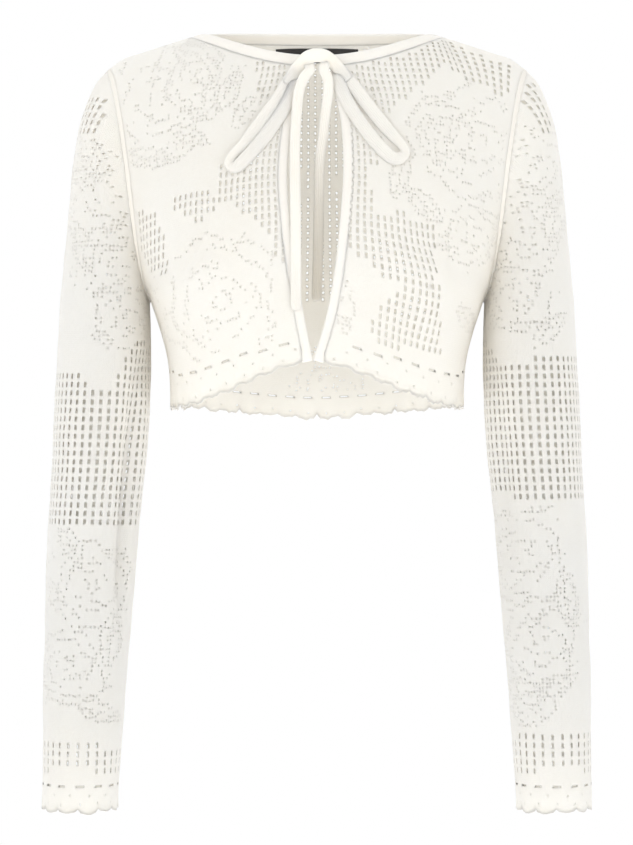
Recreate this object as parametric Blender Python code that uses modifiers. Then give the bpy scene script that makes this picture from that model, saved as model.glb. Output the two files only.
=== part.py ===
"""A cropped openwork cardigan with a tie neck, filled out as it is when worn.

+Z is up and the wearer faces -Y. The origin is the middle of the neck opening, level with the highest
point of the shoulders. Tables and helpers are in millimetres, and meshes are in metres.
"left" and "right" are the viewer's left and right from the front.
"""

import math

import bpy
import numpy as np

MM = 0.001

# Driving sizes
WALL = 1.8  # thickness of the knitted panels
BAND_WALL = 2.6  # the neck band and front bands are knitted double
SEAM = 0.3  # gap between two sewn pieces
TRIM = 0.6  # how far a panel stops short of its seam line, so that its thickness clears its neighbour
TOP_LEVEL = 0.9985  # the same at the neck and shoulder seams, as a share of the panel's height
NECK_HALF_WIDTH = 104.0
NECK_FRONT = 66.0  # from the shoulder line forward to the front neck edge
NECK_BACK = 60.0
NECK_DROP = 25.0  # the front neck edge below the high shoulder point
NECK_RISE = 7.5  # the back neck edge above it
NECK_BAND_WIDTH = 10.0
FRONT_BAND_WIDTH = 6.5
SHOULDER_TIP = (188.0, -30.0)  # x and z of the top of the armhole
UNDERARM = (149.0, -236.0)  # x and z of its lowest point
ARMHOLE_DEPTH = 46.0  # half of the armhole from front to back
UNDERARM_LEVEL = 0.3  # share of the panel's height where the side seam ends
ARMHOLE_BOW = (2.0, 3.5)  # how far the seam bows in towards the body, and out at the shoulder
SCALLOP_DEPTH = 5.0
NECK_GAP = 10.5  # half of the gap that the knot leaves in the neck band
OPENING_TOP = -33.0  # where the front opening meets the neck seam
TIE_RADIUS = 2.6
KNOT_RADIUS = 4.0
LABEL_WIDTH = 76.0
LABEL_LEVELS = (0.93, 0.985)  # where the label's edges lie, as shares of the back's height
LABEL_WALL = 1.0

# How finely the pieces are divided
FRONT_COLUMNS, BACK_COLUMNS, PANEL_ROWS = 20, 40, 16
SLEEVE_COLUMNS, SLEEVE_ROWS = 24, 25
BAND_COLUMNS = 44
TRACE_POINTS = 160

MATERIALS = {
    "knit": ((0.88, 0.85, 0.78), 0.85),
    "band_knit": ((0.90, 0.87, 0.80), 0.8),
    "tie_knit": ((0.86, 0.82, 0.73), 0.8),
    "label_weave": ((0.012, 0.011, 0.011), 0.6),
}


def table(columns, *rows):
    """Named columns from rows of numbers."""
    return {name: np.array(values, float) for name, values in zip(columns.split(), zip(*rows))}


# A row for each level of the torso, from the hem at v = 0 to the top. z and depth are at the centre
# front or back, and fullness is the exponent of the superellipse that the level follows.
TORSO = table(
    "v front_z front_depth front_fullness front_hump back_z back_depth back_fullness back_hump",
    (0.00, -293, 119, 2.30, 0, -340, 93, 2.40, 0),
    (0.15, -256, 124, 2.30, 0, -290, 97, 2.40, 0),
    (0.30, -217, 127, 2.35, 0, -238, 102, 2.40, 0),
    (0.48, -170, 121, 2.35, 2, -178, 106, 2.50, 2),
    (0.64, -127, 107, 2.30, 6, -122, 106, 2.50, 6),
    (0.78, -89, 92, 2.20, 20, -68, 96, 2.40, 20),
)
# The side seam, from the hem up to the underarm
SIDE = table(
    "v x z",
    (0.00, 130.5, -331),
    (0.10, 132.0, -300),
    (0.18, 136.5, -276),
    (0.24, 143.0, -254),
    (UNDERARM_LEVEL, *UNDERARM),
)
# Half widths of the front opening, which the tie pulls shut at the neck
OPENING = table(
    "z left right",
    (-293, 4.4, -2.8),
    (-275, 7.8, 3.4),
    (-240, 14.7, 11.6),
    (-205, 19.9, 17.4),
    (-171, 24.3, 20.7),
    (-136, 26.6, 23.2),
    (-109, 26.5, 24.0),
    (-82, 22.3, 21.6),
    (-60, 18.6, 17.4),
    (-33, 12.5, 12.0),
)
# The shoulder seam beyond the neck band
SHOULDER = table("x z", (113.7, -0.5), (134, -7), (156, -14), (176, -21), SHOULDER_TIP)
# A row for each ring of a sleeve, from the armhole at s = 0 to the cuff
SLEEVE = table(
    "s outer_x outer_z inner_x inner_z depth y",
    (0.000, *SHOULDER_TIP, *UNDERARM, ARMHOLE_DEPTH, 0),
    (0.022, 198.0, -41, 150.8, -237, 48, 0),
    (0.045, 204.5, -55, 151.2, -239, 50, 0),
    (0.075, 211.0, -74, 151.2, -242, 52, -1),
    (0.116, 216.0, -101, 151.0, -246, 54, -1),
    (0.197, 222.0, -155, 150.6, -255, 56, -2),
    (0.271, 226.5, -205, 150.0, -266, 57, -3),
    (0.340, 230.5, -250, 149.2, -281, 57, -4),
    (0.414, 233.5, -300, 149.6, -308, 56, -5),
    (0.526, 237.0, -375, 154.0, -377, 54, -8),
    (0.608, 240.0, -430, 159.5, -431, 51, -11),
    (0.682, 242.0, -480, 164.0, -480, 48, -14),
    (0.757, 243.0, -530, 167.5, -530, 45, -18),
    (0.846, 243.5, -590, 172.5, -590, 41, -23),
    (0.921, 243.5, -640, 175.5, -640, 38, -28),
    (1.000, 243.5, -688, 178.0, -688, 36, -32),
)
# Soft creases of a sleeve. angle is 0 on the outside of the arm and 90 at its front.
CREASES = table(
    "angle z depth wide tall slant",
    (138, -385, 3.5, 20, 75, 0.10),
    (150, -300, 3.0, 24, 26, 0.60),
    (70, -452, 1.8, 34, 12, 0.35),
    (-60, -410, 2.6, 36, 14, -0.30),
    (-120, -450, 3.0, 26, 60, -0.10),
    (-35, -560, 1.8, 40, 16, 0.40),
    (115, -610, 1.6, 26, 40, 0.20),
)
# The tie's routes, seen from the front: x, z and how far the cord lies out from the panel
TAIL_LEFT = table(
    "x z out",
    (-15.0, -35.6, 8.0), (-15.4, -45, 7.4), (-16.0, -54, 6.4), (-16.8, -63, 5.2), (-17.6, -73, 3.8),
    (-18.4, -84, 2.2), (-19.0, -97, 1.2), (-19.3, -112, 0.8), (-19.2, -128, 0.6), (-18.9, -145, 0.5),
    (-18.6, -163, 0.4), (-18.4, -181, 0.4), (-18.3, -199, 0.4), (-18.2, -217, 0.4), (-18.2, -234, 0.4),
    (-18.3, -249, 0.4),
)
TAIL_CENTRE = table(
    "x y z",
    (12.2, -83, -35.2), (11.4, -83.2, -45), (10.0, -83.6, -57), (8.2, -84, -69), (6.6, -84.4, -82),
    (5.2, -85, -96), (3.2, -85.5, -108), (2.0, -86, -122), (1.8, -86.5, -138), (1.6, -87, -154),
    (1.3, -87.5, -171), (1.0, -88, -188), (0.6, -88.5, -205), (0.1, -89, -222), (-0.4, -89.5, -240),
)
LOOP_LEFT = table(
    "x z out",
    (-12.0, -27.5, 1.0), (-18.0, -36, 1.0), (-25.0, -47, 0.7), (-34.1, -62.5, 0.4), (-44.6, -77.4, 0.4),
    (-54.2, -91, 0.4), (-63.8, -103.5, 0.4), (-70.5, -110, 0.4), (-75.2, -115.6, 0.4),
    (-75.6, -121.5, 0.4), (-70.0, -123.4, 0.4), (-62.4, -116.5, 0.4), (-52.0, -104.8, 0.4),
    (-41.5, -91.0, 0.4), (-31.5, -75.5, 0.4), (-23.8, -60.5, 0.4), (-19.0, -49.5, 0.4),
)
LOOP_RIGHT = table(
    "x z out",
    (11.5, -27.0, 1.0), (18.0, -34, 1.0), (25.5, -42.5, 0.7), (35.0, -55, 0.4), (45.6, -69.8, 0.4),
    (56.4, -84, 0.4), (66.0, -95.5, 0.4), (73.2, -103, 0.4), (76.8, -109.5, 0.4), (73.2, -115.2, 0.4),
    (66.0, -115.6, 0.4), (57.6, -109, 0.4), (48.4, -98.4, 0.4), (39.0, -85.6, 0.4), (30.2, -71.6, 0.4),
    (23.0, -58, 0.4), (18.6, -47.5, 0.4),
)
KNOT = table(
    "x y z",
    (-15.0, -83.0, -34.5), (-14.8, -83.2, -31.0), (-12.4, -83.4, -27.4), (-8.0, -83.6, -24.8),
    (-1.0, -83.8, -23.4), (6.4, -83.6, -24.6), (11.0, -83.4, -27.4), (12.6, -83.2, -31.0),
    (12.6, -83.0, -34.5),
)


def read(tab, key, column, at):
    """A smooth curve through one column of a table, read at values of its key column."""
    x, y = tab[key], tab[column]
    slope = np.gradient(y, x)
    at = np.clip(at, x[0], x[-1])
    i = np.clip(np.searchsorted(x, at) - 1, 0, len(x) - 2)
    step = x[i + 1] - x[i]
    t = (at - x[i]) / step
    ends = (1 + 2 * t) * (1 - t) ** 2 * y[i] + t * t * (3 - 2 * t) * y[i + 1]
    return ends + step * (t * (1 - t) ** 2 * slope[i] + t * t * (t - 1) * slope[i + 1])


def length_of(points):
    return np.linalg.norm(np.diff(points, axis=0), axis=1).sum()


def spaced(points, start, stop, count):
    """count points at equal steps along a line, from start to stop in millimetres before its end."""
    gone = np.concatenate([[0], np.cumsum(np.linalg.norm(np.diff(points, axis=0), axis=1))])
    at = np.linspace(start, gone[-1] - stop, count)
    return np.stack([np.interp(at, gone, points[:, k]) for k in range(3)], axis=1)


def smooth_route(route, columns, count):
    """count points along a smooth curve through a cord's route."""
    knots = np.stack([route[c] for c in columns], axis=1)
    number = np.arange(len(knots), dtype=float)
    fine = np.linspace(0, number[-1], TRACE_POINTS)
    tab = {"number": number, **{str(k): knots[:, k] for k in range(3)}}
    points = np.stack([read(tab, "number", str(k), fine) for k in range(3)], axis=1)
    return spaced(points, 0, 0, count)


def armhole_bow(angle):
    """How far the armhole seam lies out from a straight line between its ends."""
    inwards, outwards = ARMHOLE_BOW
    side = np.where(np.sin(angle) < 0, -1.0, 1.0)
    return -inwards * np.sin(angle) ** 2 - outwards * np.sin(2 * angle) * side


def armhole(angle):
    """A point of the armhole seam on the right: angle 0 at the shoulder tip, pi at the underarm."""
    (top_x, top_z), (low_x, low_z) = SHOULDER_TIP, UNDERARM
    x = (top_x + low_x) / 2 + (top_x - low_x) / 2 * np.cos(angle) + armhole_bow(angle)
    z = (top_z + low_z) / 2 + (top_z - low_z) / 2 * np.cos(angle)
    return x, -ARMHOLE_DEPTH * np.sin(angle), z


def panel_edge(v, facing):
    """The outer edge of a panel at level v: its side seam, then its half of the armhole."""
    v = np.asarray(v, float)
    angle = np.pi * (1 - np.clip((v - UNDERARM_LEVEL) / (1 - UNDERARM_LEVEL), 0, 1))
    x, y, z = armhole(angle)
    below = v < UNDERARM_LEVEL
    x = np.where(below, read(SIDE, "v", "x", v), x)
    z = np.where(below, read(SIDE, "v", "z", v), z)
    return np.stack([x, np.where(below, 0, y if facing == "front" else -y), z], axis=-1)


def neck_edge(turn, along=0.0):
    """A point of the neck opening, along millimetres out over the cloth: turn 0 is centre front."""
    turn = np.asarray(turn, float)
    front = np.cos(turn) > 0
    cosine = np.abs(np.cos(turn))
    x = NECK_HALF_WIDTH * np.sin(turn)
    y = np.where(front, -NECK_FRONT, NECK_BACK) * cosine
    z = 2.0 + np.where(front, -NECK_DROP * cosine**2.4, NECK_RISE * cosine)
    out = np.stack([0.97 * np.sin(turn), -0.38 * np.cos(turn), -0.25 - 0.68 * cosine], axis=-1)
    out /= np.linalg.norm(out, axis=-1, keepdims=True)
    return np.stack([x, y, z], axis=-1) + along * out


def level_line(v, facing, opening):
    """One level of a panel, from the front opening or centre back out to its edge."""
    end = panel_edge(v, facing)
    depth, fullness = (read(TORSO, "v", facing + part, v) for part in ("_depth", "_fullness"))
    centre_z, hump = (read(TORSO, "v", facing + part, v) for part in ("_z", "_hump"))
    start_x = read(OPENING, "z", opening, centre_z) if opening else 0.0
    half_width = end[0] / (1 - min(abs(end[1]) / depth, 0.999) ** fullness) ** (1 / fullness)
    power = fullness / 2

    def angle_of(x):
        share = np.sign(x) * (abs(x) / half_width) ** power
        return math.asin(max(-1.0, min(1.0, share)))

    angle = np.linspace(angle_of(start_x), angle_of(end[0]), TRACE_POINTS)
    x = half_width * np.sign(np.sin(angle)) * np.abs(np.sin(angle)) ** (1 / power)
    y = depth * np.maximum(np.cos(angle), 0) ** (1 / power)
    share = np.clip((x - x[0]) / (x[-1] - x[0]), 0, 1)
    z = centre_z + (end[2] - centre_z) * share**2 * (3 - 2 * share) + hump * np.sin(np.pi * share)
    return np.stack([x, -y if facing == "front" else y, z], axis=1)


def top_line(facing, opening):
    """The top edge of a panel: the neck seam, then the shoulder seam."""
    gap = read(OPENING, "z", opening, OPENING_TOP) if opening else 0.0
    start = math.asin(gap / NECK_HALF_WIDTH)
    turn = np.linspace(start, np.pi / 2, TRACE_POINTS)
    if facing == "back":
        turn = np.pi - turn
    seam = neck_edge(turn, NECK_BAND_WIDTH)
    x = np.linspace(seam[-1, 0], SHOULDER_TIP[0], TRACE_POINTS)[1:]
    shoulder = np.stack([x, 0 * x, read(SHOULDER, "x", "z", x)], axis=1)
    return np.concatenate([seam, shoulder])


def top_slope(line, facing):
    """The way the cloth runs as it meets the top line: up to the neck, or back over the shoulder."""
    away = -1.0 if facing == "front" else 1.0
    side = np.clip(np.abs(line[:, 0]) / SHOULDER["x"][0], 0, 1)
    rise = np.sqrt(1 - side**2)
    slope = np.stack([0 * side, -away * (0.38 + 0.62 * side**2), 0.92 * rise], axis=1)
    return slope / np.linalg.norm(slope, axis=1, keepdims=True)


def panel(facing, opening, start, stop, columns, levels):
    """A grid of points of a panel, lofted through its levels. Rows run from the hem up."""
    keys = np.append(TORSO["v"], 1.0)
    traces = [level_line(v, facing, opening) for v in TORSO["v"]] + [top_line(facing, opening)]
    rows = np.array([spaced(t, start, stop, columns + 1) for t in traces])
    slopes = np.gradient(rows, keys, axis=0)
    reach = np.linalg.norm(rows[-1] - rows[-2], axis=1, keepdims=True) / (keys[-1] - keys[-2])
    slopes[-1] = top_slope(rows[-1], facing) * reach

    def at_level(v):
        i = min(int(np.searchsorted(keys, v, side="right")) - 1, len(keys) - 2)
        step = keys[i + 1] - keys[i]
        t = (v - keys[i]) / step
        ends = (1 + 2 * t) * (1 - t) ** 2 * rows[i] + t * t * (3 - 2 * t) * rows[i + 1]
        bend = t * (1 - t) ** 2 * slopes[i] + t * t * (t - 1) * slopes[i + 1]
        return ends + step * bend

    grid = np.array([at_level(v) for v in levels])
    # The loft passes near the seam between its levels, so the points beside the seam are moved onto it.
    share = np.linspace(0, 1, columns + 1)[None, :, None] ** 5
    inwards = grid[:, -2] - grid[:, -1]
    inwards /= np.linalg.norm(inwards, axis=1, keepdims=True)
    seam = panel_edge(levels, facing) + stop * inwards
    return grid + share * (seam - grid[:, -1])[:, None]


def mirrored(grid):
    return grid * np.array([-1.0, 1.0, 1.0])


def scalloped(grid, waves):
    """The lowest row of a grid, drawn down into a scalloped edge."""
    turn = np.linspace(0, waves, grid.shape[1])
    grid[0, :, 2] -= SCALLOP_DEPTH * (0.5 - 0.5 * np.cos(2 * np.pi * turn))
    return grid


def crease_depth(angle, z):
    """How far the sleeve's creases dent it, at an angle in degrees and a height."""
    depth = 0.0
    for row in zip(*(CREASES[name] for name in ("angle", "z", "depth", "wide", "tall", "slant"))):
        middle, level, deep, wide, tall, slant = row
        off = (angle - middle + 180) % 360 - 180
        height = z - level - slant * off
        depth = depth + deep * np.exp(-((off / wide) ** 2) - (height / tall) ** 2)
    return depth


def sleeve(rows, columns):
    """A grid of points of the right sleeve. Rows run from the armhole to the cuff."""
    s = np.linspace(0, 1, rows + 1)[:, None]
    angle = np.linspace(0, 2 * np.pi, columns, endpoint=False)[None, :]
    outer_x, outer_z, inner_x, inner_z, depth, y = (
        read(SLEEVE, "s", name, s)
        for name in ("outer_x", "outer_z", "inner_x", "inner_z", "depth", "y")
    )
    x = (outer_x + inner_x) / 2 + (outer_x - inner_x) / 2 * np.cos(angle)
    z = (outer_z + inner_z) / 2 + (outer_z - inner_z) / 2 * np.cos(angle)
    # The first ring follows the armhole seam, clear of the panels by a little more where it turns under
    near = np.exp(-((s / 0.03) ** 2))
    clear = 0.9 + 0.5 * (1 - np.cos(angle)) + 0.5 * np.sin(angle) ** 2
    x = x + near * (armhole_bow(angle) + clear)
    dent = crease_depth(np.degrees(angle), z) * np.clip(s / 0.2, 0, 1)
    x = x - dent * np.cos(angle)
    y = y - (depth - dent) * np.sin(angle)
    return np.stack([x, y, z], axis=-1)


def cloth(name, grid, material, wall, closed=False):
    """An object from a grid of points in millimetres, thickened to both sides."""
    rows, columns = grid.shape[:2]
    faces = []
    for r in range(rows - 1):
        for c in range(columns if closed else columns - 1):
            a, b = r * columns + c, r * columns + (c + 1) % columns
            faces.append((a, b, b + columns, a + columns))
    mesh = bpy.data.meshes.new(name)
    mesh.from_pydata((grid.reshape(-1, 3) * MM).tolist(), [], faces)
    mesh.shade_smooth()
    made = bpy.data.objects.new(name, mesh)
    thicken = made.modifiers.new("wall", "SOLIDIFY")
    thicken.thickness = wall * MM
    thicken.offset = 0
    thicken.use_even_offset = True
    finish(made, material)
    return made


def cord(name, points, radius, material):
    """A tube along points in millimetres, with filled ends."""
    curve = bpy.data.curves.new(name, "CURVE")
    curve.dimensions = "3D"
    curve.bevel_depth = radius * MM
    curve.bevel_resolution = 2
    curve.use_fill_caps = True
    spline = curve.splines.new("POLY")
    spline.points.add(len(points) - 1)
    for point, place in zip(spline.points, points):
        point.co = (*(place * MM), 1)
    made = bpy.data.objects.new(name, curve)
    finish(made, material)
    return made


def finish(made, material):
    made.data.materials.append(bpy.data.materials[material])
    made.parent = bpy.data.objects["cardigan"]
    bpy.data.collections["cropped_cardigan"].objects.link(made)


def on_front(x, z):
    """The front panel's depth at a place seen from the front, from a plane through its nearest points."""
    cloth_points = FRONT_TRACE["left" if x < 0 else "right"]
    away = (cloth_points[:, 0] - abs(x)) ** 2 + (cloth_points[:, 2] - z) ** 2
    near = cloth_points[np.argsort(away)[:6]]
    plane = np.c_[near[:, [0, 2]], np.ones(6)]
    fit = np.linalg.lstsq(plane, near[:, 1], rcond=None)[0]
    return float(fit @ (abs(x), z, 1))


def tie_on_front(route):
    """A cord's route with its depth, so that it lies on the front panels."""
    lift = BAND_WALL / 2 + TIE_RADIUS
    depth = [on_front(x, z) - lift - out for x, z, out in zip(route["x"], route["z"], route["out"])]
    return {**route, "y": np.array(depth)}


def clear_scene():
    for old in list(bpy.data.objects):
        bpy.data.objects.remove(old, do_unlink=True)


def make_materials():
    for name, (colour, roughness) in MATERIALS.items():
        material = bpy.data.materials.new(name)
        material.use_nodes = True
        shader = material.node_tree.nodes["Principled BSDF"]
        shader.inputs["Base Color"].default_value = (*colour, 1)
        shader.inputs["Roughness"].default_value = roughness
        shader.inputs["Metallic"].default_value = 0.0


def make_fronts():
    levels = np.linspace(0, TOP_LEVEL, PANEL_ROWS + 1)
    for opening in ("left", "right"):
        grid = panel("front", opening, FRONT_BAND_WIDTH + SEAM, TRIM, FRONT_COLUMNS, levels)
        grid = scalloped(grid, FRONT_COLUMNS // 2)
        whole = panel("front", opening, 0, 0, FRONT_COLUMNS, levels)
        edge = np.array([spaced(row, 0, length_of(row) - FRONT_BAND_WIDTH, 3) for row in whole])
        if opening == "left":
            grid, edge = mirrored(grid), mirrored(edge)
        cloth(f"front_{opening}", grid, "knit", WALL)
        cloth(f"front_band_{opening}", edge, "band_knit", BAND_WALL)


def make_back():
    levels = np.linspace(0, TOP_LEVEL, PANEL_ROWS + 1)
    half = panel("back", None, 0, TRIM, BACK_COLUMNS // 2, levels)
    grid = np.concatenate([half[:, ::-1], mirrored(half)[:, 1:]], axis=1)
    cloth("back", scalloped(grid, BACK_COLUMNS // 2), "knit", WALL)


def make_sleeves():
    grid = sleeve(SLEEVE_ROWS, SLEEVE_COLUMNS)
    turn = np.arange(SLEEVE_COLUMNS)
    grid[-1, :, 2] -= SCALLOP_DEPTH * (turn % 2)
    cloth("sleeve_right", grid[:, ::-1], "knit", WALL, closed=True)
    cloth("sleeve_left", mirrored(grid), "knit", WALL, closed=True)


def make_neck_band():
    start = math.asin(NECK_GAP / NECK_HALF_WIDTH)
    turn = np.linspace(start, 2 * np.pi - start, BAND_COLUMNS + 1)
    rows = [neck_edge(turn, along) for along in (NECK_BAND_WIDTH - TRIM, NECK_BAND_WIDTH / 2, 0)]
    cloth("neck_band", np.array(rows), "band_knit", BAND_WALL)


def make_tie():
    for name, route, radius, count in (
        ("tie_tail_left", tie_on_front(TAIL_LEFT), TIE_RADIUS, 18),
        ("tie_tail_centre", TAIL_CENTRE, TIE_RADIUS, 18),
        ("bow_loop_left", tie_on_front(LOOP_LEFT), TIE_RADIUS, 26),
        ("bow_loop_right", tie_on_front(LOOP_RIGHT), TIE_RADIUS, 26),
        ("bow_knot", KNOT, KNOT_RADIUS, 14),
    ):
        cord(name, smooth_route(route, "xyz", count), radius, "tie_knit")


def make_label():
    half = panel("back", None, 0, TRIM, TRACE_POINTS, np.linspace(*LABEL_LEVELS, 4))
    rows = np.array([spaced(row, 0, length_of(row) - LABEL_WIDTH / 2, 7) for row in half])
    rows[..., 1] -= WALL / 2 + LABEL_WALL / 2 + 2 * SEAM
    grid = np.concatenate([rows[:, ::-1], mirrored(rows)[:, 1:]], axis=1)
    cloth("label", grid, "label_weave", LABEL_WALL)


clear_scene()
bpy.context.scene.collection.children.link(bpy.data.collections.new("cropped_cardigan"))
root = bpy.data.objects.new("cardigan", None)
bpy.data.collections["cropped_cardigan"].objects.link(root)
make_materials()
FRONT_TRACE = {
    opening: panel("front", opening, 0, 0, 60, np.linspace(0, 1, 90)).reshape(-1, 3)
    for opening in ("left", "right")
}
make_fronts()
make_back()
make_sleeves()
make_neck_band()
make_tie()
make_label()
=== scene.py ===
# %% [markdown]
# # A cropped openwork cardigan with a tie neck
# This lesson dresses a plain solid model of a knitted cardigan in real knitting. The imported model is
# loaded first and never changed: it fixes where the neck, the armholes, the hem and the cuffs are.
# Everything after that is cloth, bands and a tie, each made in the place that its solid holds.

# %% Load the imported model
import math

import bpy
import numpy as np
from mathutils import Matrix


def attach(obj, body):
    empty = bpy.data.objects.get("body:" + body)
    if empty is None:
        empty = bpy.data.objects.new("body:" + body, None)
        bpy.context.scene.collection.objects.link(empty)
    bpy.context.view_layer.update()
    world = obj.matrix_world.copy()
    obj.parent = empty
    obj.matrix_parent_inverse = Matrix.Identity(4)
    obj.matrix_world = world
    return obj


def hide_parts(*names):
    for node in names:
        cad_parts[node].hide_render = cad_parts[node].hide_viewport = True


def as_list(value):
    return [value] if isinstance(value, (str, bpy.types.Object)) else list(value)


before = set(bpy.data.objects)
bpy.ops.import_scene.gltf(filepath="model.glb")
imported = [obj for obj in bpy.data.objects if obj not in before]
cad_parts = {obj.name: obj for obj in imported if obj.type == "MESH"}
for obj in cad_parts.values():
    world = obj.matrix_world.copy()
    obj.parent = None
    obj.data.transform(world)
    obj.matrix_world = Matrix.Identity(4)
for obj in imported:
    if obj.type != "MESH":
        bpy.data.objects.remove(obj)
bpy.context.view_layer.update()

MM = 0.001  # the tables below are in millimetres and Blender works in metres

# %% [markdown]
# ## The camera
# A garment on a product page is photographed from far away with a long lens, so that the shoulders and
# the cuffs keep their true proportions. The camera stands 3.2 m in front, level with the middle of the
# cardigan, and one pixel covers 0.9 mm of the cloth.

# %% Place the camera
PIXELS = (633, 845)
PIXEL = 0.9  # millimetres of the garment for each pixel
CAMERA = (-0.45, -3200.0, -346.05)  # its place, in millimetres

lens = bpy.data.cameras.new("camera")
lens.sensor_width = 36.0
lens.lens = lens.sensor_width * -CAMERA[1] / (PIXELS[1] * PIXEL)
camera = bpy.data.objects.new("camera", lens)
camera.location = [c * MM for c in CAMERA]
camera.rotation_euler = (math.pi / 2, 0, 0)
bpy.context.scene.collection.objects.link(camera)
bpy.context.scene.camera = camera


def seen(points):
    """Where the camera sees points of the garment, in pixels from the top left of the frame."""
    points = np.asarray(points, float)
    scale = -CAMERA[1] / (points[..., 1] - CAMERA[1]) / PIXEL
    right = PIXELS[0] / 2 + (points[..., 0] - CAMERA[0]) * scale
    down = PIXELS[1] / 2 - (points[..., 2] - CAMERA[2]) * scale
    return right, down


print("lens %.1f mm, the neck is seen at" % lens.lens, seen((0, 0, 0)))

# %% [markdown]
# ## Smooth curves through a few numbers
# A pattern cutter writes a garment as a few measurements at named places. Here each part of the
# cardigan is a small table, and a smooth curve is read through each of its columns.


# %% Read a table
TRACE_POINTS = 200  # how finely a curve is drawn before it is divided


def table(columns, *rows):
    """Named columns from rows of numbers."""
    return {name: np.array(values, float) for name, values in zip(columns.split(), zip(*rows))}


def read(tab, key, column, at):
    """A smooth curve through one column of a table, read at values of its key column."""
    x, y = tab[key], tab[column]
    slope = np.gradient(y, x)
    at = np.clip(at, x[0], x[-1])
    i = np.clip(np.searchsorted(x, at) - 1, 0, len(x) - 2)
    step = x[i + 1] - x[i]
    t = (at - x[i]) / step
    ends = (1 + 2 * t) * (1 - t) ** 2 * y[i] + t * t * (3 - 2 * t) * y[i + 1]
    return ends + step * (t * (1 - t) ** 2 * slope[i] + t * t * (t - 1) * slope[i + 1])


def run_of(points):
    """How far along a line of points each one lies."""
    steps = np.linalg.norm(np.diff(points, axis=0), axis=1)
    return np.concatenate([[0], np.cumsum(steps)])


def placed(points, at):
    """Points at given distances along a line of points."""
    gone = run_of(points)
    return np.stack([np.interp(at, gone, points[:, k]) for k in range(3)], axis=1)


def smooth_route(route, columns, count):
    """count points at equal steps along a smooth curve through a cord's route."""
    knots = np.stack([route[c] for c in columns], axis=1)
    number = np.arange(len(knots), dtype=float)
    tab = {"number": number, **{str(k): knots[:, k] for k in range(3)}}
    fine = np.linspace(0, number[-1], TRACE_POINTS)
    points = np.stack([read(tab, "number", str(k), fine) for k in range(3)], axis=1)
    return placed(points, np.linspace(0, run_of(points)[-1], count))


def unit(vectors):
    """Vectors of the same directions, one long."""
    return vectors / np.maximum(np.linalg.norm(vectors, axis=-1, keepdims=True), 1e-9)


print("a smooth reading:", read(table("a b", (0, 0), (1, 1), (2, 4)), "a", "b", 1.5))

# %% [markdown]
# ## The form of the body
# Worn knitwear is a tube that the body fills: deep at the bust, shallower at the shoulder, and pulled
# together at the neck by the tie. Each level of the body is a rounded oval, and the panels are lofted
# through the levels from the hem up to the neck and shoulder seams. These are the solid model's own
# measurements, so the cloth lies exactly where its solid is.

# %% Measurements of the body
NECK_HALF_WIDTH, NECK_FRONT, NECK_BACK = 104.0, 66.0, 60.0  # sideways, forwards and back
NECK_DROP, NECK_RISE = 25.0, 7.5  # the front edge below the high point of the shoulder, the back above
NECK_GAP = 10.5  # half of the gap in the neck band behind the knot
OPENING_TOP = -33.0  # where the front opening meets the neck seam
NECK_BAND_WIDTH, FRONT_BAND_WIDTH = 10.0, 6.5
SHOULDER_TIP, UNDERARM = (188.0, -30.0), (149.0, -236.0)  # x and z of the armhole's two ends
ARMHOLE_DEPTH = 46.0  # half of the armhole from front to back
ARMHOLE_BOW = (2.0, 3.5)  # how far its seam bows in, and how much more so in its upper half
UNDERARM_LEVEL = 0.3  # the share of the body's height where the side seam ends

TORSO = table(
    "v front_z front_depth front_fullness front_hump back_z back_depth back_fullness back_hump",
    (0.00, -293, 119, 2.30, 0, -340, 93, 2.40, 0),
    (0.15, -256, 124, 2.30, 0, -290, 97, 2.40, 0),
    (0.30, -217, 127, 2.35, 0, -238, 102, 2.40, 0),
    (0.48, -170, 121, 2.35, 2, -178, 106, 2.50, 2),
    (0.64, -127, 107, 2.30, 6, -122, 106, 2.50, 6),
    (0.78, -89, 92, 2.20, 20, -68, 96, 2.40, 20),
)
SIDE = table(
    "v x z",
    (0.00, 130.5, -331),
    (0.10, 132.0, -300),
    (0.18, 136.5, -276),
    (0.24, 143.0, -254),
    (UNDERARM_LEVEL, *UNDERARM),
)
OPENING = table(
    "z left right",
    (-293, 4.4, -2.8),
    (-275, 7.8, 3.4),
    (-240, 14.7, 11.6),
    (-205, 19.9, 17.4),
    (-171, 24.3, 20.7),
    (-136, 26.6, 23.2),
    (-109, 26.5, 24.0),
    (-82, 22.3, 21.6),
    (-60, 18.6, 17.4),
    (-33, 12.5, 12.0),
)
SHOULDER = table("x z", (113.7, -0.5), (134, -7), (156, -14), (176, -21), SHOULDER_TIP)
print("body levels:", len(TORSO["v"]), "side seam rows:", len(SIDE["v"]))


# %% Seams of the body
def armhole(angle):
    """A point of the armhole seam on the right: angle 0 at the shoulder tip, pi at the underarm."""
    (top_x, top_z), (low_x, low_z) = SHOULDER_TIP, UNDERARM
    x = (top_x + low_x) / 2 + (top_x - low_x) / 2 * np.cos(angle) + armhole_bow(angle)
    z = (top_z + low_z) / 2 + (top_z - low_z) / 2 * np.cos(angle)
    return x, -ARMHOLE_DEPTH * np.sin(angle), z


def armhole_bow(angle):
    """How far the armhole seam lies out from a straight line between its ends."""
    inwards, outwards = ARMHOLE_BOW
    side = np.where(np.sin(angle) < 0, -1.0, 1.0)
    return -inwards * np.sin(angle) ** 2 - outwards * np.sin(2 * angle) * side


def panel_edge(v, facing):
    """The outer edge of a panel at level v: its side seam, then its half of the armhole."""
    v = np.asarray(v, float)
    angle = np.pi * (1 - np.clip((v - UNDERARM_LEVEL) / (1 - UNDERARM_LEVEL), 0, 1))
    x, y, z = armhole(angle)
    below = v < UNDERARM_LEVEL
    x = np.where(below, read(SIDE, "v", "x", v), x)
    z = np.where(below, read(SIDE, "v", "z", v), z)
    return np.stack([x, np.where(below, 0, y if facing == "front" else -y), z], axis=-1)


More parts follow.
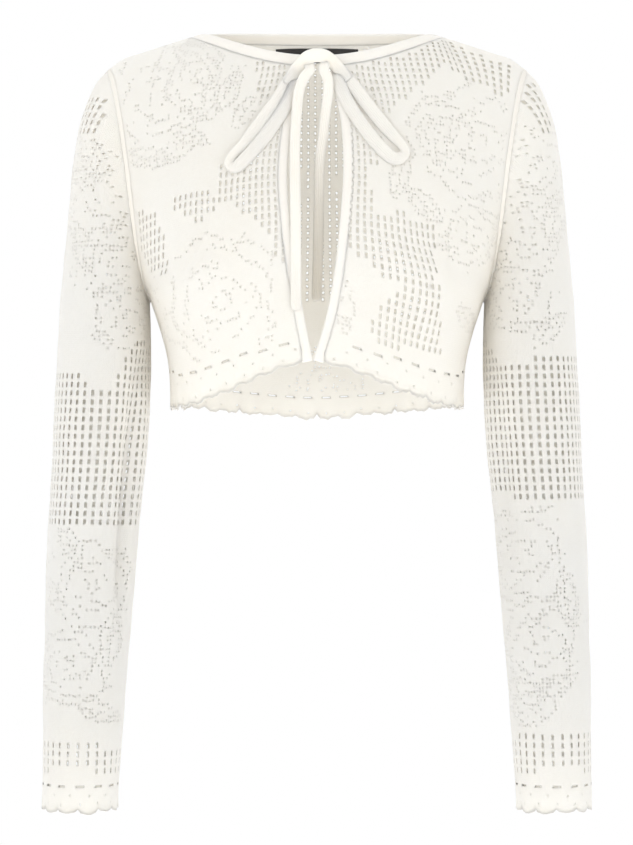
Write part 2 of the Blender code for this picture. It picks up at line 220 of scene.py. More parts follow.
def neck_edge(turn, along=0.0):
    """A point of the neck opening, along millimetres out over the cloth: turn 0 is centre front."""
    turn = np.asarray(turn, float)
    front = np.cos(turn) > 0
    cosine = np.abs(np.cos(turn))
    x = NECK_HALF_WIDTH * np.sin(turn)
    y = np.where(front, -NECK_FRONT, NECK_BACK) * cosine
    z = 2.0 + np.where(front, -NECK_DROP * cosine**2.4, NECK_RISE * cosine)
    out = np.stack([0.97 * np.sin(turn), -0.38 * np.cos(turn), -0.25 - 0.68 * cosine], axis=-1)
    return np.stack([x, y, z], axis=-1) + along * unit(out)


def level_line(v, facing, opening, from_x=None):
    """One level of a panel, from the front opening, centre back or from_x out to its edge."""
    end = panel_edge(v, facing)
    depth, fullness = (read(TORSO, "v", facing + part, v) for part in ("_depth", "_fullness"))
    centre_z, hump = (read(TORSO, "v", facing + part, v) for part in ("_z", "_hump"))
    start_x = read(OPENING, "z", opening, centre_z) if opening else 0.0
    half_width = end[0] / (1 - min(abs(end[1]) / depth, 0.999) ** fullness) ** (1 / fullness)
    power = fullness / 2

    def angle_of(x):
        share = np.sign(x) * (abs(x) / half_width) ** power
        return math.asin(max(-1.0, min(1.0, share)))

    first = start_x if from_x is None else from_x
    angle = np.linspace(angle_of(first), angle_of(end[0]), TRACE_POINTS)
    x = half_width * np.sign(np.sin(angle)) * np.abs(np.sin(angle)) ** (1 / power)
    y = depth * np.maximum(np.cos(angle), 0) ** (1 / power)
    share = np.clip((x - start_x) / (x[-1] - start_x), 0, 1)
    z = centre_z + (end[2] - centre_z) * share**2 * (3 - 2 * share) + hump * np.sin(np.pi * share)
    return np.stack([x, -y if facing == "front" else y, z], axis=1)


def top_line(facing, opening):
    """The top edge of a panel: the neck seam, then the shoulder seam."""
    gap = read(OPENING, "z", opening, OPENING_TOP) if opening else 0.0
    turn = np.linspace(math.asin(gap / NECK_HALF_WIDTH), np.pi / 2, TRACE_POINTS)
    if facing == "back":
        turn = np.pi - turn
    seam = neck_edge(turn, NECK_BAND_WIDTH)
    x = np.linspace(seam[-1, 0], SHOULDER_TIP[0], TRACE_POINTS)[1:]
    shoulder = np.stack([x, 0 * x, read(SHOULDER, "x", "z", x)], axis=1)
    return np.concatenate([seam, shoulder])


print("underarm point:", np.round(panel_edge(UNDERARM_LEVEL, "front"), 1))

# %% [markdown]
# ## A panel as a grid of points
# The wales, which are the upright columns of stitches, run from the hem to the top. The tie gathers
# the neck, so the wales lean together there: the share of the width at which each wale sits is drawn
# in towards the opening over the top of the panel. Lower down a front is cut on a slant, because its
# wales hang upright while the opening closes towards the hem. A few spare wales fill that corner, and
# each of them ends where it meets the opening.


# %% How the wales run
FRONT_WALE, FRONT_COURSE = 3.55, 3.6  # the width of a wale and the height of a course
PLUMB_LEVEL = 0.48  # below this level of the body the wales of a front hang upright
PLUMB_Z = float(read(TORSO, "v", "front_z", PLUMB_LEVEL))
PLUMB_FROM = -14.0  # x at which the lower levels start, past the corner of the hem
GATHER_LEVEL, GATHER_POWER = 0.4, 2.2  # where the wales start to lean together, and how suddenly
print("the wales of a front hang upright below", round(PLUMB_Z), "mm")


# %% Loft a panel
def top_slope(line, facing):
    """The way the cloth runs as it meets the top line: up to the neck, or back over the shoulder."""
    away = -1.0 if facing == "front" else 1.0
    side = np.clip(np.abs(line[:, 0]) / SHOULDER["x"][0], 0, 1)
    rise = np.sqrt(1 - side**2)
    return unit(np.stack([0 * side, -away * (0.38 + 0.62 * side**2), 0.92 * rise], axis=1))


def panel(facing, opening, start, stop, columns, levels, gather=0.0, spare=0):
    """A grid of points of a panel, lofted through its levels. Rows run from the hem up.

    It stays start and stop millimetres away from its two side edges."""
    keys = np.append(TORSO["v"], 1.0)
    even = np.concatenate([np.zeros(spare), np.linspace(0, 1, columns + 1)])
    beyond = np.concatenate([np.arange(spare, 0, -1), np.zeros(columns + 1)])
    rows = []
    for v in keys:
        upright = spare > 0 and v < PLUMB_LEVEL
        if v == 1.0:
            trace = top_line(facing, opening)
        else:
            trace = level_line(v, facing, opening, PLUMB_FROM if upright else None)
        first = start
        if upright:
            first += np.interp(read(OPENING, "z", opening, PLUMB_Z), trace[:, 0], run_of(trace))
        drawn = gather * np.clip((v - GATHER_LEVEL) / (1 - GATHER_LEVEL), 0, 1) ** GATHER_POWER
        share = even - drawn * np.sin(np.pi * even)
        at = first + share * (run_of(trace)[-1] - first - stop) - upright * beyond * FRONT_WALE
        rows.append(placed(trace, at))
    rows = np.array(rows)
    slopes = np.gradient(rows, keys, axis=0)
    reach = np.linalg.norm(rows[-1] - rows[-2], axis=1, keepdims=True) / (keys[-1] - keys[-2])
    slopes[-1] = top_slope(rows[-1], facing) * reach

    def at_level(v):
        i = min(int(np.searchsorted(keys, v, side="right")) - 1, len(keys) - 2)
        step = keys[i + 1] - keys[i]
        t = (v - keys[i]) / step
        ends = (1 + 2 * t) * (1 - t) ** 2 * rows[i] + t * t * (3 - 2 * t) * rows[i + 1]
        return ends + step * (t * (1 - t) ** 2 * slopes[i] + t * t * (t - 1) * slopes[i + 1])

    grid = np.array([at_level(v) for v in levels])
    inwards = unit(grid[:, -2] - grid[:, -1])
    seam = panel_edge(levels, facing) + stop * inwards
    return grid + even[None, :, None] ** 5 * (seam - grid[:, -1])[:, None]


def mirrored(grid):
    """The same points on the other side of the garment."""
    return grid * np.array([-1.0, 1.0, 1.0])


FRONT_CLOTH = {
    side: panel("front", side, 0, 0, 60, np.linspace(0, 1, 90)).reshape(-1, 3)
    for side in ("left", "right")
}


def on_front(x, z):
    """The front panel's depth at a place seen from the front, from a plane through its nearest points."""
    cloth_points = FRONT_CLOTH["left" if x < 0 else "right"]
    away = (cloth_points[:, 0] - abs(x)) ** 2 + (cloth_points[:, 2] - z) ** 2
    near = cloth_points[np.argsort(away)[:6]]
    plane = np.c_[near[:, [0, 2]], np.ones(6)]
    fit = np.linalg.lstsq(plane, near[:, 1], rcond=None)[0]
    return float(fit @ (abs(x), z, 1))


print("front of the chest at", round(on_front(40, -150), 1), "mm")

# %% [markdown]
# ## The form of a sleeve
# A sleeve is a tapering tube. Its first ring is the armhole, which is nearly upright, and its rings
# turn level further down the arm. A few soft dents give it the creases of an arm that hangs.

# %% Measurements of the sleeve
SLEEVE = table(
    "s outer_x outer_z inner_x inner_z depth y",
    (0.000, *SHOULDER_TIP, *UNDERARM, ARMHOLE_DEPTH, 0),
    (0.022, 198.0, -41, 150.8, -237, 48, 0),
    (0.045, 204.5, -55, 151.2, -239, 50, 0),
    (0.075, 211.0, -74, 151.2, -242, 52, -1),
    (0.116, 216.0, -101, 151.0, -246, 54, -1),
    (0.197, 222.0, -155, 150.6, -255, 56, -2),
    (0.271, 226.5, -205, 150.0, -266, 57, -3),
    (0.340, 230.5, -250, 149.2, -281, 57, -4),
    (0.414, 233.5, -300, 149.6, -308, 56, -5),
    (0.526, 237.0, -375, 154.0, -377, 54, -8),
    (0.608, 240.0, -430, 159.5, -431, 51, -11),
    (0.682, 242.0, -480, 164.0, -480, 48, -14),
    (0.757, 243.0, -530, 167.5, -530, 45, -18),
    (0.846, 243.5, -590, 172.5, -590, 41, -23),
    (0.921, 243.5, -640, 175.5, -640, 38, -28),
    (1.000, 243.5, -688, 178.0, -688, 36, -32),
)
CREASES = table(
    "angle z depth wide tall slant",
    (138, -385, 3.5, 20, 75, 0.10),
    (150, -300, 3.0, 24, 26, 0.60),
    (70, -452, 1.8, 34, 12, 0.35),
    (-60, -410, 2.6, 36, 14, -0.30),
    (-120, -450, 3.0, 26, 60, -0.10),
    (-35, -560, 1.8, 40, 16, 0.40),
    (115, -610, 1.6, 26, 40, 0.20),
)


def crease_depth(angle, z):
    """How far the sleeve's creases dent it, at an angle in degrees and a height."""
    depth = 0.0
    for middle, level, deep, wide, tall, slant in zip(*CREASES.values()):
        off = (angle - middle + 180) % 360 - 180
        height = z - level - slant * off
        depth = depth + deep * np.exp(-((off / wide) ** 2) - (height / tall) ** 2)
    return depth


def sleeve(s, angle, extra=0.0):
    """Points of the right sleeve: s is 0 at the armhole and 1 at the cuff, angle 0 is its outside."""
    outer_x, outer_z, inner_x, inner_z, depth, y = (
        read(SLEEVE, "s", name, s)
        for name in ("outer_x", "outer_z", "inner_x", "inner_z", "depth", "y")
    )
    x = (outer_x + inner_x) / 2 + (outer_x - inner_x) / 2 * np.cos(angle)
    z = (outer_z + inner_z) / 2 + (outer_z - inner_z) / 2 * np.cos(angle)
    x = x + np.exp(-((s / 0.03) ** 2)) * armhole_bow(angle)
    dent = (crease_depth(np.degrees(angle), z) + extra) * np.clip(s / 0.2, 0, 1)
    return np.stack([x - dent * np.cos(angle), y - (depth - dent) * np.sin(angle), z], axis=-1)


print("cuff from", np.round(sleeve(1.0, math.pi), 0), "to", np.round(sleeve(1.0, 0.0), 0))

# %% [markdown]
# ## The soft hang of the cloth
# Knitting never lies dead flat. Shallow waves a few centimetres long run over the panels, and longer
# folds start at the underarm and at the tie, where the cloth is pulled. The waves are sums of sines,
# so they come out the same on every run.

# %% Waves and folds
FOLDS = table(
    "x z depth wide tall slant",
    (112, -205, -3.0, 9, 48, 0.50),
    (92, -248, 2.2, 10, 40, 0.30),
    (66, -88, 1.6, 8, 30, -0.75),
    (44, -62, -1.5, 6, 22, -0.60),
    (120, -300, 1.8, 9, 30, 0.05),
    (78, -270, -1.6, 12, 34, 0.00),
    (36, -240, 1.5, 9, 44, -0.08),
)


def normals_of(grid, closed=False):
    """The outward direction at each point of a grid."""
    up = np.gradient(grid, axis=0)
    if closed:
        side = (np.roll(grid, -1, axis=1) - np.roll(grid, 1, axis=1)) / 2
    else:
        side = np.gradient(grid, axis=1)
    out = unit(np.cross(side, up))
    centre = grid.reshape(-1, 3).mean(axis=0)
    return out * np.sign(np.sum(out * (grid - centre), axis=2).sum())


def waves(grid):
    """Shallow waves over the whole garment, in millimetres."""
    x, y, z = (grid[..., k] for k in range(3))
    first = np.sin(x / 17.0 + z / 41.0 + 0.7) * np.sin(z / 29.0 - y / 23.0 + 1.9)
    second = np.sin(x / 9.5 - z / 15.0 + 2.1) * np.sin(z / 12.0 + y / 14.0)
    return 0.55 * first + 0.25 * second


def folds(grid, lean=1.0):
    """Longer folds of a body panel, in millimetres out from it."""
    x, z = np.abs(grid[..., 0]), grid[..., 2]
    out = 0.0
    for middle, level, deep, wide, tall, slant in zip(*FOLDS.values()):
        off = x - middle + slant * lean * (z - level)
        out = out + deep * np.exp(-((off / wide) ** 2) - ((z - level) / tall) ** 2)
    return out


HELD_REACH, HELD_SHARE = 26.0, 0.1  # millimetres from a side seam, and share of the height at the top


def held_edges(grid, first=None):
    """1 inside a panel and 0 at its seams, so that waves leave the seams closed."""
    first = grid[:, 0] if first is None else first
    away = [np.linalg.norm(grid - edge[:, None], axis=2) for edge in (first, grid[:, -1])]
    sides = np.clip(np.minimum(*away) / HELD_REACH, 0, 1)
    top = np.clip(np.linspace(1, 0, grid.shape[0]) / HELD_SHARE, 0, 1)
    return (top[:, None] * sides)[..., None]


print("folds:", len(FOLDS["x"]))

# %% [markdown]
# ## Where the cloth is open
# The panels mix three fabrics. Plain knitting is the ground. Net is a ladder of upright holes in every
# second wale. Roses and leaves are drawn with single eyelets. The outlines of the net were read off the
# photograph, in pixels of its frame, and are laid on the cloth by asking where the camera sees it. The
# flowers are an ordinary rose: rings of petals, more of them in each ring, drawn from sines.

# %% Where the net lies
NET = {
    "front_right": (
        ((346, 72), (372, 64), (395, 58), (412, 54), (430, 44), (445, 42), (470, 52), (495, 62), (525, 70),
         (525, 100), (505, 98), (490, 93), (475, 86), (462, 78), (447, 68), (437, 74), (425, 86),
         (410, 96), (398, 106), (386, 120), (376, 112), (366, 92), (352, 88)),
        ((346, 105), (358, 108), (360, 134), (384, 138), (384, 162), (370, 172), (372, 196), (376, 213),
         (400, 214), (436, 226), (434, 262), (440, 290), (440, 356), (410, 352), (385, 348), (368, 336),
         (374, 318), (386, 300), (400, 288), (380, 278), (366, 262), (346, 248)),
    ),
    "front_left": (
        ((256, 62), (288, 64), (283, 84), (274, 92), (262, 110), (256, 112)),
        ((268, 128), (284, 118), (286, 262), (278, 262), (270, 240), (258, 224), (240, 212), (228, 204),
         (214, 206), (216, 166), (232, 158), (262, 152)),
        ((174, 196), (214, 194), (214, 212), (200, 224), (174, 212)),
        ((138, 210), (156, 216), (168, 240), (168, 276), (152, 274), (140, 244)),
    ),
    "back": (
        ((288, 60), (347, 60), (347, 165), (332, 182), (347, 205), (347, 302), (288, 302), (288, 215),
         (310, 200), (300, 168), (288, 165)),
        ((180, 150), (262, 158), (262, 222), (232, 240), (180, 222)),
        ((372, 235), (448, 240), (448, 318), (410, 330), (372, 300)),
        ((180, 60), (240, 48), (262, 78), (214, 104), (180, 92)),
        ((430, 62), (470, 74), (478, 120), (440, 112)),
    ),
    "sleeve_left": (
        ((84, 100), (104, 98), (106, 118), (90, 142), (80, 136)),
        ((40, 378), (82, 374), (92, 388), (108, 394), (116, 378), (128, 356), (140, 342), (152, 350),
         (150, 520), (120, 528), (40, 524)),
        ((40, 745), (130, 748), (130, 775), (40, 772)),
    ),
    "sleeve_right": (
        ((520, 78), (536, 86), (552, 130), (544, 138), (530, 112), (520, 98)),
        ((478, 342), (488, 345), (500, 366), (520, 366), (545, 352), (562, 356), (600, 368), (600, 500),
         (540, 504), (480, 492)),
        ((500, 738), (600, 735), (600, 772), (500, 775)),
    ),
}
print("net outlines:", {piece: len(outlines) for piece, outlines in NET.items()})

# %% Where the flowers lie
# a rose is (right, down, size, turn), and a leaf is (right, down, length, width, lean)
ROSES = {
    "front_left": ((158, 100, 54, 0.3), (222, 300, 60, 1.1), (196, 78, 40, 2.6), (135, 335, 24, 2.2)),
    "front_right": ((478, 142, 52, 0.8), (440, 128, 30, 2.0), (470, 235, 28, 0.4)),
    "back": ((200, 300, 52, 0.6), (410, 150, 52, 1.4), (250, 110, 30, 2.4), (330, 390, 40, 0.9)),
    "sleeve_left": (
        (104, 200, 44, 0.2), (112, 262, 34, 1.7), (120, 318, 30, 0.9),
        (92, 586, 40, 0.5), (70, 668, 34, 1.9), (84, 160, 24, 2.3),
    ),
    "sleeve_right": (
        (530, 170, 40, 1.2), (528, 232, 40, 0.1), (515, 295, 34, 2.1),
        (524, 556, 44, 1.5), (540, 640, 40, 0.6), (530, 700, 24, 2.6),
    ),
}
LEAVES = {
    "front_left": (
        (228, 92, 24, 9, 2.1), (245, 112, 20, 8, 2.2), (190, 136, 22, 8, 0.4), (150, 158, 30, 9, 0.1),
    ),
    "front_right": (
        (344, 305, 30, 9, 1.5), (400, 175, 26, 9, 1.8), (424, 205, 26, 9, 0.8), (465, 318, 16, 7, 1.2),
    ),
    "back": (
        (150, 130, 34, 13, 1.0), (470, 230, 34, 13, 1.9), (260, 350, 26, 10, 0.4), (380, 60, 26, 10, 0.8),
    ),
    "sleeve_left": (
        (84, 250, 24, 9, 1.3), (110, 640, 30, 10, 1.7), (72, 545, 24, 9, 1.1), (98, 712, 24, 9, 0.3),
    ),
    "sleeve_right": (
        (555, 215, 28, 10, 1.8), (548, 330, 24, 9, 2.3), (566, 600, 30, 10, 1.4), (556, 684, 24, 9, 2.7),
    ),
}
print("roses:", sum(map(len, ROSES.values())), "leaves:", sum(map(len, LEAVES.values())))


# %% Draw net, roses and leaves
PETALS = (3, 4, 5, 6, 7)  # in each ring of a rose, from the middle out
FIRST_RING, RING_STEP, PETAL_SWELL = 0.14, 0.21, 0.13  # shares of the rose's size
PETAL_LINE, PETAL_CHANCE = 1.9, 0.88  # half the width of a drawn line in pixels, and how full it is
SHADE_REACH, SHADE_CHANCE = 9.0, 0.16
LEAF_LINE, VEIN_LINE, LEAF_CHANCE = 2.0, 1.6, 0.3


def inside(right, down, outline):
    """Whether places lie inside an outline, by counting the edges to one side of them."""
    crossings = np.zeros(right.shape, int)
    for (x0, y0), (x1, y1) in zip(outline, outline[1:] + outline[:1]):
        spans = (y0 > down) != (y1 > down)
        reach = x0 + (down - y0) * (x1 - x0) / (y1 - y0 + 1e-9)
        crossings += spans & (right < reach)
    return crossings % 2 == 1


def rose(right, down, chance, flower):
    """Eyelets of one rose: the edges of its petals, and a scattered shade behind some of them."""
    x, y, size, turn = flower
    away = np.hypot(right - x, down - y) / size
    round_it = np.arctan2(down - y, right - x)
    marks = np.zeros(right.shape, bool)
    for ring, petals in enumerate(PETALS):
        swell = PETAL_SWELL * np.abs(np.sin(petals * round_it / 2 + 1.7 * ring + turn))
        edge = (FIRST_RING + RING_STEP * ring) * (1 + swell)
        whole = np.cos(round_it * 2 + 2.1 * ring + turn) > -0.45
        shaded = np.cos(round_it * 3 - 1.3 * ring + 2 * turn) > 0.35
        marks |= (np.abs(away - edge) < PETAL_LINE / size) & whole & (chance < PETAL_CHANCE)
        marks |= (away > edge) & (away < edge + SHADE_REACH / size) & shaded & (chance < SHADE_CHANCE)
    return marks


def leaf(right, down, chance, shape):
    """Eyelets of one leaf: its pointed outline and its midrib."""
    x, y, length, width, lean = shape
    along = ((right - x) * math.cos(lean) + (down - y) * math.sin(lean)) / length
    across = ((down - y) * math.cos(lean) - (right - x) * math.sin(lean)) / width
    edge = np.abs(across) - (1 - along**2)
    marks = (np.abs(edge) < LEAF_LINE / width) & (np.abs(along) < 1)
    vein = (np.abs(across) < VEIN_LINE / width) & (np.abs(along) < 0.75)
    shade = (edge < 0) & (across > 0) & (chance < LEAF_CHANCE) & (np.abs(along) < 0.9)
    return marks | vein | shade


print("rings in a rose:", len(PETALS))

# %% [markdown]
# ## One course at a time
# Real openwork is counted: so many stitches across, so many courses up. The panels are counted in the
# same way. Each wale is cut into courses of one height from its lower edge up, so the net's holes stay
# in rows, and a course that runs into a neckline or an armhole is simply cut short by it. Each cell
# of this chart then becomes a plain face, a face with an eyelet, or half of a hole in the net.


# %% Count the courses
MOST_COURSES = 400
LEAST_COURSE = 0.3  # a last course that is shorter than this share is joined to the one below


def counted(wales, course, level_by=None, evenness=0.75):
    """Each wale as points one course apart, in one array, and how many courses each wale has.

    Where the lower edge dips, the courses above the dip are a little taller, so that they come
    level by the height level_by."""
    steps = np.arange(MOST_COURSES)
    settled, stretch = 0, np.ones(len(wales))
    if level_by is not None:
        rise = np.array([level_by - wale[0, 2] for wale in wales])
        least = rise[len(wales) // 4]
        settled = least / course
        stretch = 1 + evenness * (rise / least - 1)
    heights, counts = [], []
    for wale, k in zip(wales, stretch):
        at, whole = course * (steps + (k - 1) * np.minimum(steps, settled)), run_of(wale)[-1]
        count = max(1, int(np.searchsorted(at, whole - LEAST_COURSE * course)))
        at[count:] = whole
        heights.append(at)
        counts.append(count)
    chart = np.array([placed(wale, at[: max(counts) + 1]) for wale, at in zip(wales, heights)])
    return chart, np.array(counts)


print("no wale has more than", MOST_COURSES, "courses")


# %% The shapes of the holes
def ring(outline, hole):
    """Triangles between an outline and a hole in it, both given anticlockwise in a unit square."""
    def angles(points):
        turn = np.unwrap([math.atan2(y - 0.5, x - 0.5) for x, y in points])
        return list(turn) + [turn[0] + 2 * math.pi]

    outer, inner = angles(outline), angles(hole)
    shift = round((outer[0] - inner[0]) / (2 * math.pi)) * 2 * math.pi
    inner = [a + shift for a in inner]
    count, faces, i, k = len(outline), [], 0, 0
    while i < count or k < len(hole):
        here, there = i % count, count + k % len(hole)
        if k >= len(hole) or (i < count and outer[i + 1] <= inner[k + 1]):
            faces.append((here, (i + 1) % count, there))
            i += 1
        else:
            faces.append((here, count + (k + 1) % len(hole), there))
            k += 1
    return faces


def rounded_hole(w, h, flat_side=0.5, flat_top=0.5):
    """A hole of half width w and half height h in the middle of a unit square, with its corners cut."""
    a, b = h * flat_side, w * flat_top
    points = ((-w, -a), (-b, -h), (b, -h), (w, -a), (w, a), (b, h), (-b, h), (-w, a))
    return [(0.5 + x, 0.5 + y) for x, y in points]


CELL = [(0, 0), (1, 0), (1, 1), (0, 1)]
LADDER = [(0, 0), (1, 0), (1, 0.5), (1, 1), (0, 1), (0, 0.5)]
DASH = [(0, 0), (1 / 3, 0), (2 / 3, 0), (1, 0), (1, 1), (2 / 3, 1), (1 / 3, 1), (0, 1)]
OPEN_CELLS = {  # the outline's steps in wales and courses, the outline, and the hole in it
    "eyelet": (((0, 0), (1, 0), (1, 1), (0, 1)), CELL, rounded_hole(0.19, 0.20)),
    "ladder": (
        ((0, 0), (1, 0), (1, 1), (1, 2), (0, 2), (0, 1)), LADDER,
        rounded_hole(0.42, 0.30, 0.6, 0.6),
    ),
    "dash": (
        ((0, 0), (1, 0), (2, 0), (3, 0), (3, 1), (2, 1), (1, 1), (0, 1)), DASH,
        rounded_hole(0.42, 0.22, 0.2, 0.7),
    ),
}
LOOSENESS = (0.40, 0.07, 0.05)  # how much the holes of each kind differ from one another
FULL_SIZE, DRIFT, LEAN = 0.96, 0.68, 0.1  # a hole's usual size, and how far it strays and leans
HOLE_SHADE_OF = (0.45, 0.8, 1.0)  # how deep shade is painted into the yarn at the edge of each kind of hole
EDGE_SHADE = (0.6, 0.35)  # how deep shade is painted on the first two courses at a lower edge
RIM = 0.46  # no hole reaches further than this from the middle of its cell
RINGS = {kind: ring(outline, hole) for kind, (_, outline, hole) in OPEN_CELLS.items()}
print("triangles round an eyelet:", len(RINGS["eyelet"]), "round a ladder hole:", len(RINGS["ladder"]))


# %% Choose the stitch of each cell
LADDER_STEP, CUFF_STEP = 2, 3  # one wale in so many carries the net's holes, on the body and at a cuff
CUFF_NET = 700  # the row of the frame below which a sleeve is its cuff


def stitches(piece, chart, counts, closed, dash_step, dash_row):
    """What each cell of a chart is: 0 plain, 1 eyelet, 2 the foot of a ladder hole, 3 of a dash.

    dash_row is the course of the row of dashes at each wale."""
    across, up = np.meshgrid(range(len(chart) - 1), range(chart.shape[1] - 1), indexing="ij")
    middle = (chart[:-1, :-1] + chart[1:, :-1] + chart[1:, 1:] + chart[:-1, 1:]) / 4
    right, down = seen(middle)
    room = np.minimum(counts[:-1], counts[1:])[:, None]
    chance = np.random.default_rng(right.size).random(right.shape)
    net = np.zeros(right.shape, bool)
    for outline in NET[piece]:
        net |= inside(right, down, outline)
    flowers = np.zeros(right.shape, bool)
    for flower in ROSES[piece]:
        flowers |= rose(right, down, chance, flower)
    for shape in LEAVES[piece]:
        flowers |= leaf(right, down, chance, shape)
    over_dash = up - dash_row[:-1, None]
    edge = (over_dash < 2) | (up > room - 2)
    if not closed:
        edge |= (across < 2) | (across > len(chart) - 4)
    kinds = np.where(flowers & ~net & ~edge, 1, 0)
    step = np.where(closed & (down > CUFF_NET), CUFF_STEP, LADDER_STEP)
    foot = net & (across % step == 0) & (up % 2 == 0) & (up + 2 <= room) & ~edge
    kinds[foot] = 2
    kinds[:, 1:][foot[:, :-1]] = -1
    dots = (over_dash == -2) & (across % dash_step == 5) | (up == 1) & (across % dash_step == 2)
    kinds[dots & (up < room)] = 1
    dash = (over_dash == 0) & (across % dash_step == 1) & (across < len(chart) - 4)
    dash &= np.minimum(room, np.roll(room, -2, axis=0)) > dash_row.max() + 1
    kinds[dash] = 3
    kinds[1:][dash[:-1]] = -1
    kinds[2:][dash[:-2]] = -1
    return kinds


print("cell kinds: plain,", ", ".join(OPEN_CELLS))


# %% Knit a mesh from its chart
def give_shade_depth(mesh, depth):
    """Give each point of a mesh the depth of the shade painted into its yarn."""
    mesh.attributes.new("rim", "FLOAT", "POINT").data.foreach_set("value", depth)


def hole_points(corners, hole, kind, snug, uneven):
    """The points of a hole between the corners of its cell, and where they lie in the cell."""
    loose = LOOSENESS[kind - 1]
    size = snug * uneven.uniform(FULL_SIZE - loose, FULL_SIZE + loose, 2)
    drift = uneven.uniform(-DRIFT * loose, DRIFT * loose, 2)
    lean = uneven.uniform(-LEAN, LEAN, 2)
    for x, y in hole:
        x, y = x - 0.5, y - 0.5
        x, y = size[0] * x + drift[0] + lean[0] * y, size[1] * y + drift[1] + lean[1] * x
        x, y = 0.5 + max(-RIM, min(RIM, x)), 0.5 + max(-RIM, min(RIM, y))
        low = corners[0] * (1 - x) + corners[1] * x
        high = corners[3] * (1 - x) + corners[2] * x
        yield low * (1 - y) + high * y, x, y


def knit_mesh(name, chart, counts, kinds, closed, gauge, tops, snug=1.0):
    """A mesh of a chart, with a hole in each open cell and its stitches counted in a UV map.
    Its points carry the value rim, the depth of painted shade: highest at the edge of a hole, 0 away from
    it.

    tops is the number of courses that are filled between each wale and the next, and snug is the
    size of the net's holes beside those of the fronts."""
    uneven = np.random.default_rng(len(chart))  # no two stitches of a knitter are quite alike
    starts = np.concatenate([[0], np.cumsum(counts + 1)])
    wales = len(chart) - 1 if closed else len(chart)
    points = [chart[w, : counts[w] + 1] for w in range(wales)]
    extra, faces, stitch, shade = [], [], [], []
    total = int(starts[wales])

    def vertex(w, c):
        w = w % wales if closed else w
        return int(starts[w] + min(c, counts[w]))

    def plain_cell(w, c):
        around = {}
        for i, j in CELL:
            around.setdefault(vertex(w + i, c + j), (w + i, c + j))
        if len(around) > 2:
            faces.append(list(around))
            stitch.extend(around.values())

    def open_cell(w, c, kind):
        kind_name = list(OPEN_CELLS)[kind - 1]
        steps, _, hole = OPEN_CELLS[kind_name]
        wide, tall = max(i for i, _ in steps), max(j for _, j in steps)
        corners = [chart[w + i * wide, min(c + j * tall, chart.shape[1] - 1)] for i, j in CELL]
        size = snug if kind_name == "ladder" else 1.0
        around = [vertex(w + i, c + j) for i, j in steps]
        places = [(w + i, c + j) for i, j in steps]
        for point, x, y in hole_points(corners, hole, kind, size, uneven):
            extra.append(point)
            # smaller holes get deeper painted shade at their edge
            shade.append(min(1.0, HOLE_SHADE_OF[kind - 1] / size))
            around.append(total + len(extra) - 1)
            places.append((w + x * wide, c + y * tall))
        for corner in RINGS[kind_name]:
            if len({around[k] for k in corner}) == 3:
                faces.append([around[k] for k in corner])
                stitch.extend(places[k] for k in corner)

    for w in range(len(chart) - 1):
        for c in range(tops[w]):
            if kinds[w, c] == 0:
                plain_cell(w, c)
            elif kinds[w, c] > 0:
                open_cell(w, c, kinds[w, c])
    mesh = bpy.data.meshes.new(name)
    everything = np.concatenate(points + ([np.array(extra)] if extra else []))
    mesh.from_pydata((everything * MM).tolist(), [], faces)
    layer = mesh.uv_layers.new(name="stitch")
    layer.data.foreach_set("uv", (np.array(stitch) * np.array(gauge)).ravel())
    painted_shade = np.concatenate([np.zeros(total), shade])
    # painted shade on the first courses of a lower edge
    for course, depth in enumerate(EDGE_SHADE):
        painted_shade[starts[:wales] + course] = depth
    give_shade_depth(mesh, painted_shade)
    mesh.shade_smooth()
    return mesh


print("no hole reaches further than", RIM, "of a cell from its middle")

# %% [markdown]
# ## Node groups for yarn
# Three effects come back in every knitted finish here, so each is a node group. The first draws the
# rows of stitches as a height: every stitch is a V of two yarn legs. The second is the fuzz of spun
# yarn. The third lets the colour drift a little from place to place, as undyed cotton does, and paints
# shade into the gaps between the legs.


# %% A small helper for node trees
def node(tree, kind, inputs=(), **settings):
    """A new node with its settings made and its first inputs linked or filled."""
    made = tree.nodes.new(kind)
    for name, value in settings.items():
        setattr(made, name, value)
    for place, value in enumerate(inputs):
        if isinstance(value, bpy.types.NodeSocket):
            tree.links.new(value, made.inputs[place])
        elif value is not None:
            made.inputs[place].default_value = value
    return made


def maths(tree, operation, *inputs):
    """The outcome of one sum on a node tree."""
    return node(tree, "ShaderNodeMath", inputs, operation=operation).outputs[0]


def new_group(name, inputs, outputs):
    """An empty node group with named sockets, and its input and output nodes."""
    tree = bpy.data.node_groups.new(name, "ShaderNodeTree")
    for socket, kind, value in inputs:
        made = tree.interface.new_socket(socket, in_out="INPUT", socket_type=kind)
        if value is not None:
            made.default_value = value
    for socket, kind in outputs:
        tree.interface.new_socket(socket, in_out="OUTPUT", socket_type=kind)
    return tree, tree.nodes.new("NodeGroupInput").outputs, tree.nodes.new("NodeGroupOutput").inputs


FLOAT, COLOUR, VECTOR = "NodeSocketFloat", "NodeSocketColor", "NodeSocketVector"
print("sockets:", FLOAT, COLOUR, VECTOR)

# %% Rows of stitches
rows_of_stitches, given, result = new_group(
    "rows of stitches",
    (("Stitch", VECTOR, None), ("Wale", FLOAT, 1.3), ("Course", FLOAT, 1.1)),
    (("Height", FLOAT), ("Gap", FLOAT)),
)
t = rows_of_stitches
axes = node(t, "ShaderNodeSeparateXYZ", (given["Stitch"],)).outputs
wale = maths(t, "DIVIDE", axes["X"], given["Wale"])
course = maths(t, "DIVIDE", axes["Y"], given["Course"])
off_centre = maths(t, "SUBTRACT", maths(t, "FRACT", wale), 0.5)
leg = maths(t, "MULTIPLY", maths(t, "ABSOLUTE", off_centre), 2.0)
across_leg = maths(t, "SINE", maths(t, "MULTIPLY", leg, math.pi))
leaning = maths(t, "ADD", course, maths(t, "MULTIPLY", leg, -0.8))
along_leg = maths(t, "SINE", maths(t, "MULTIPLY", maths(t, "FRACT", leaning), math.pi))
yarn = maths(t, "MULTIPLY", maths(t, "POWER", across_leg, 0.6), maths(t, "POWER", along_leg, 0.5))
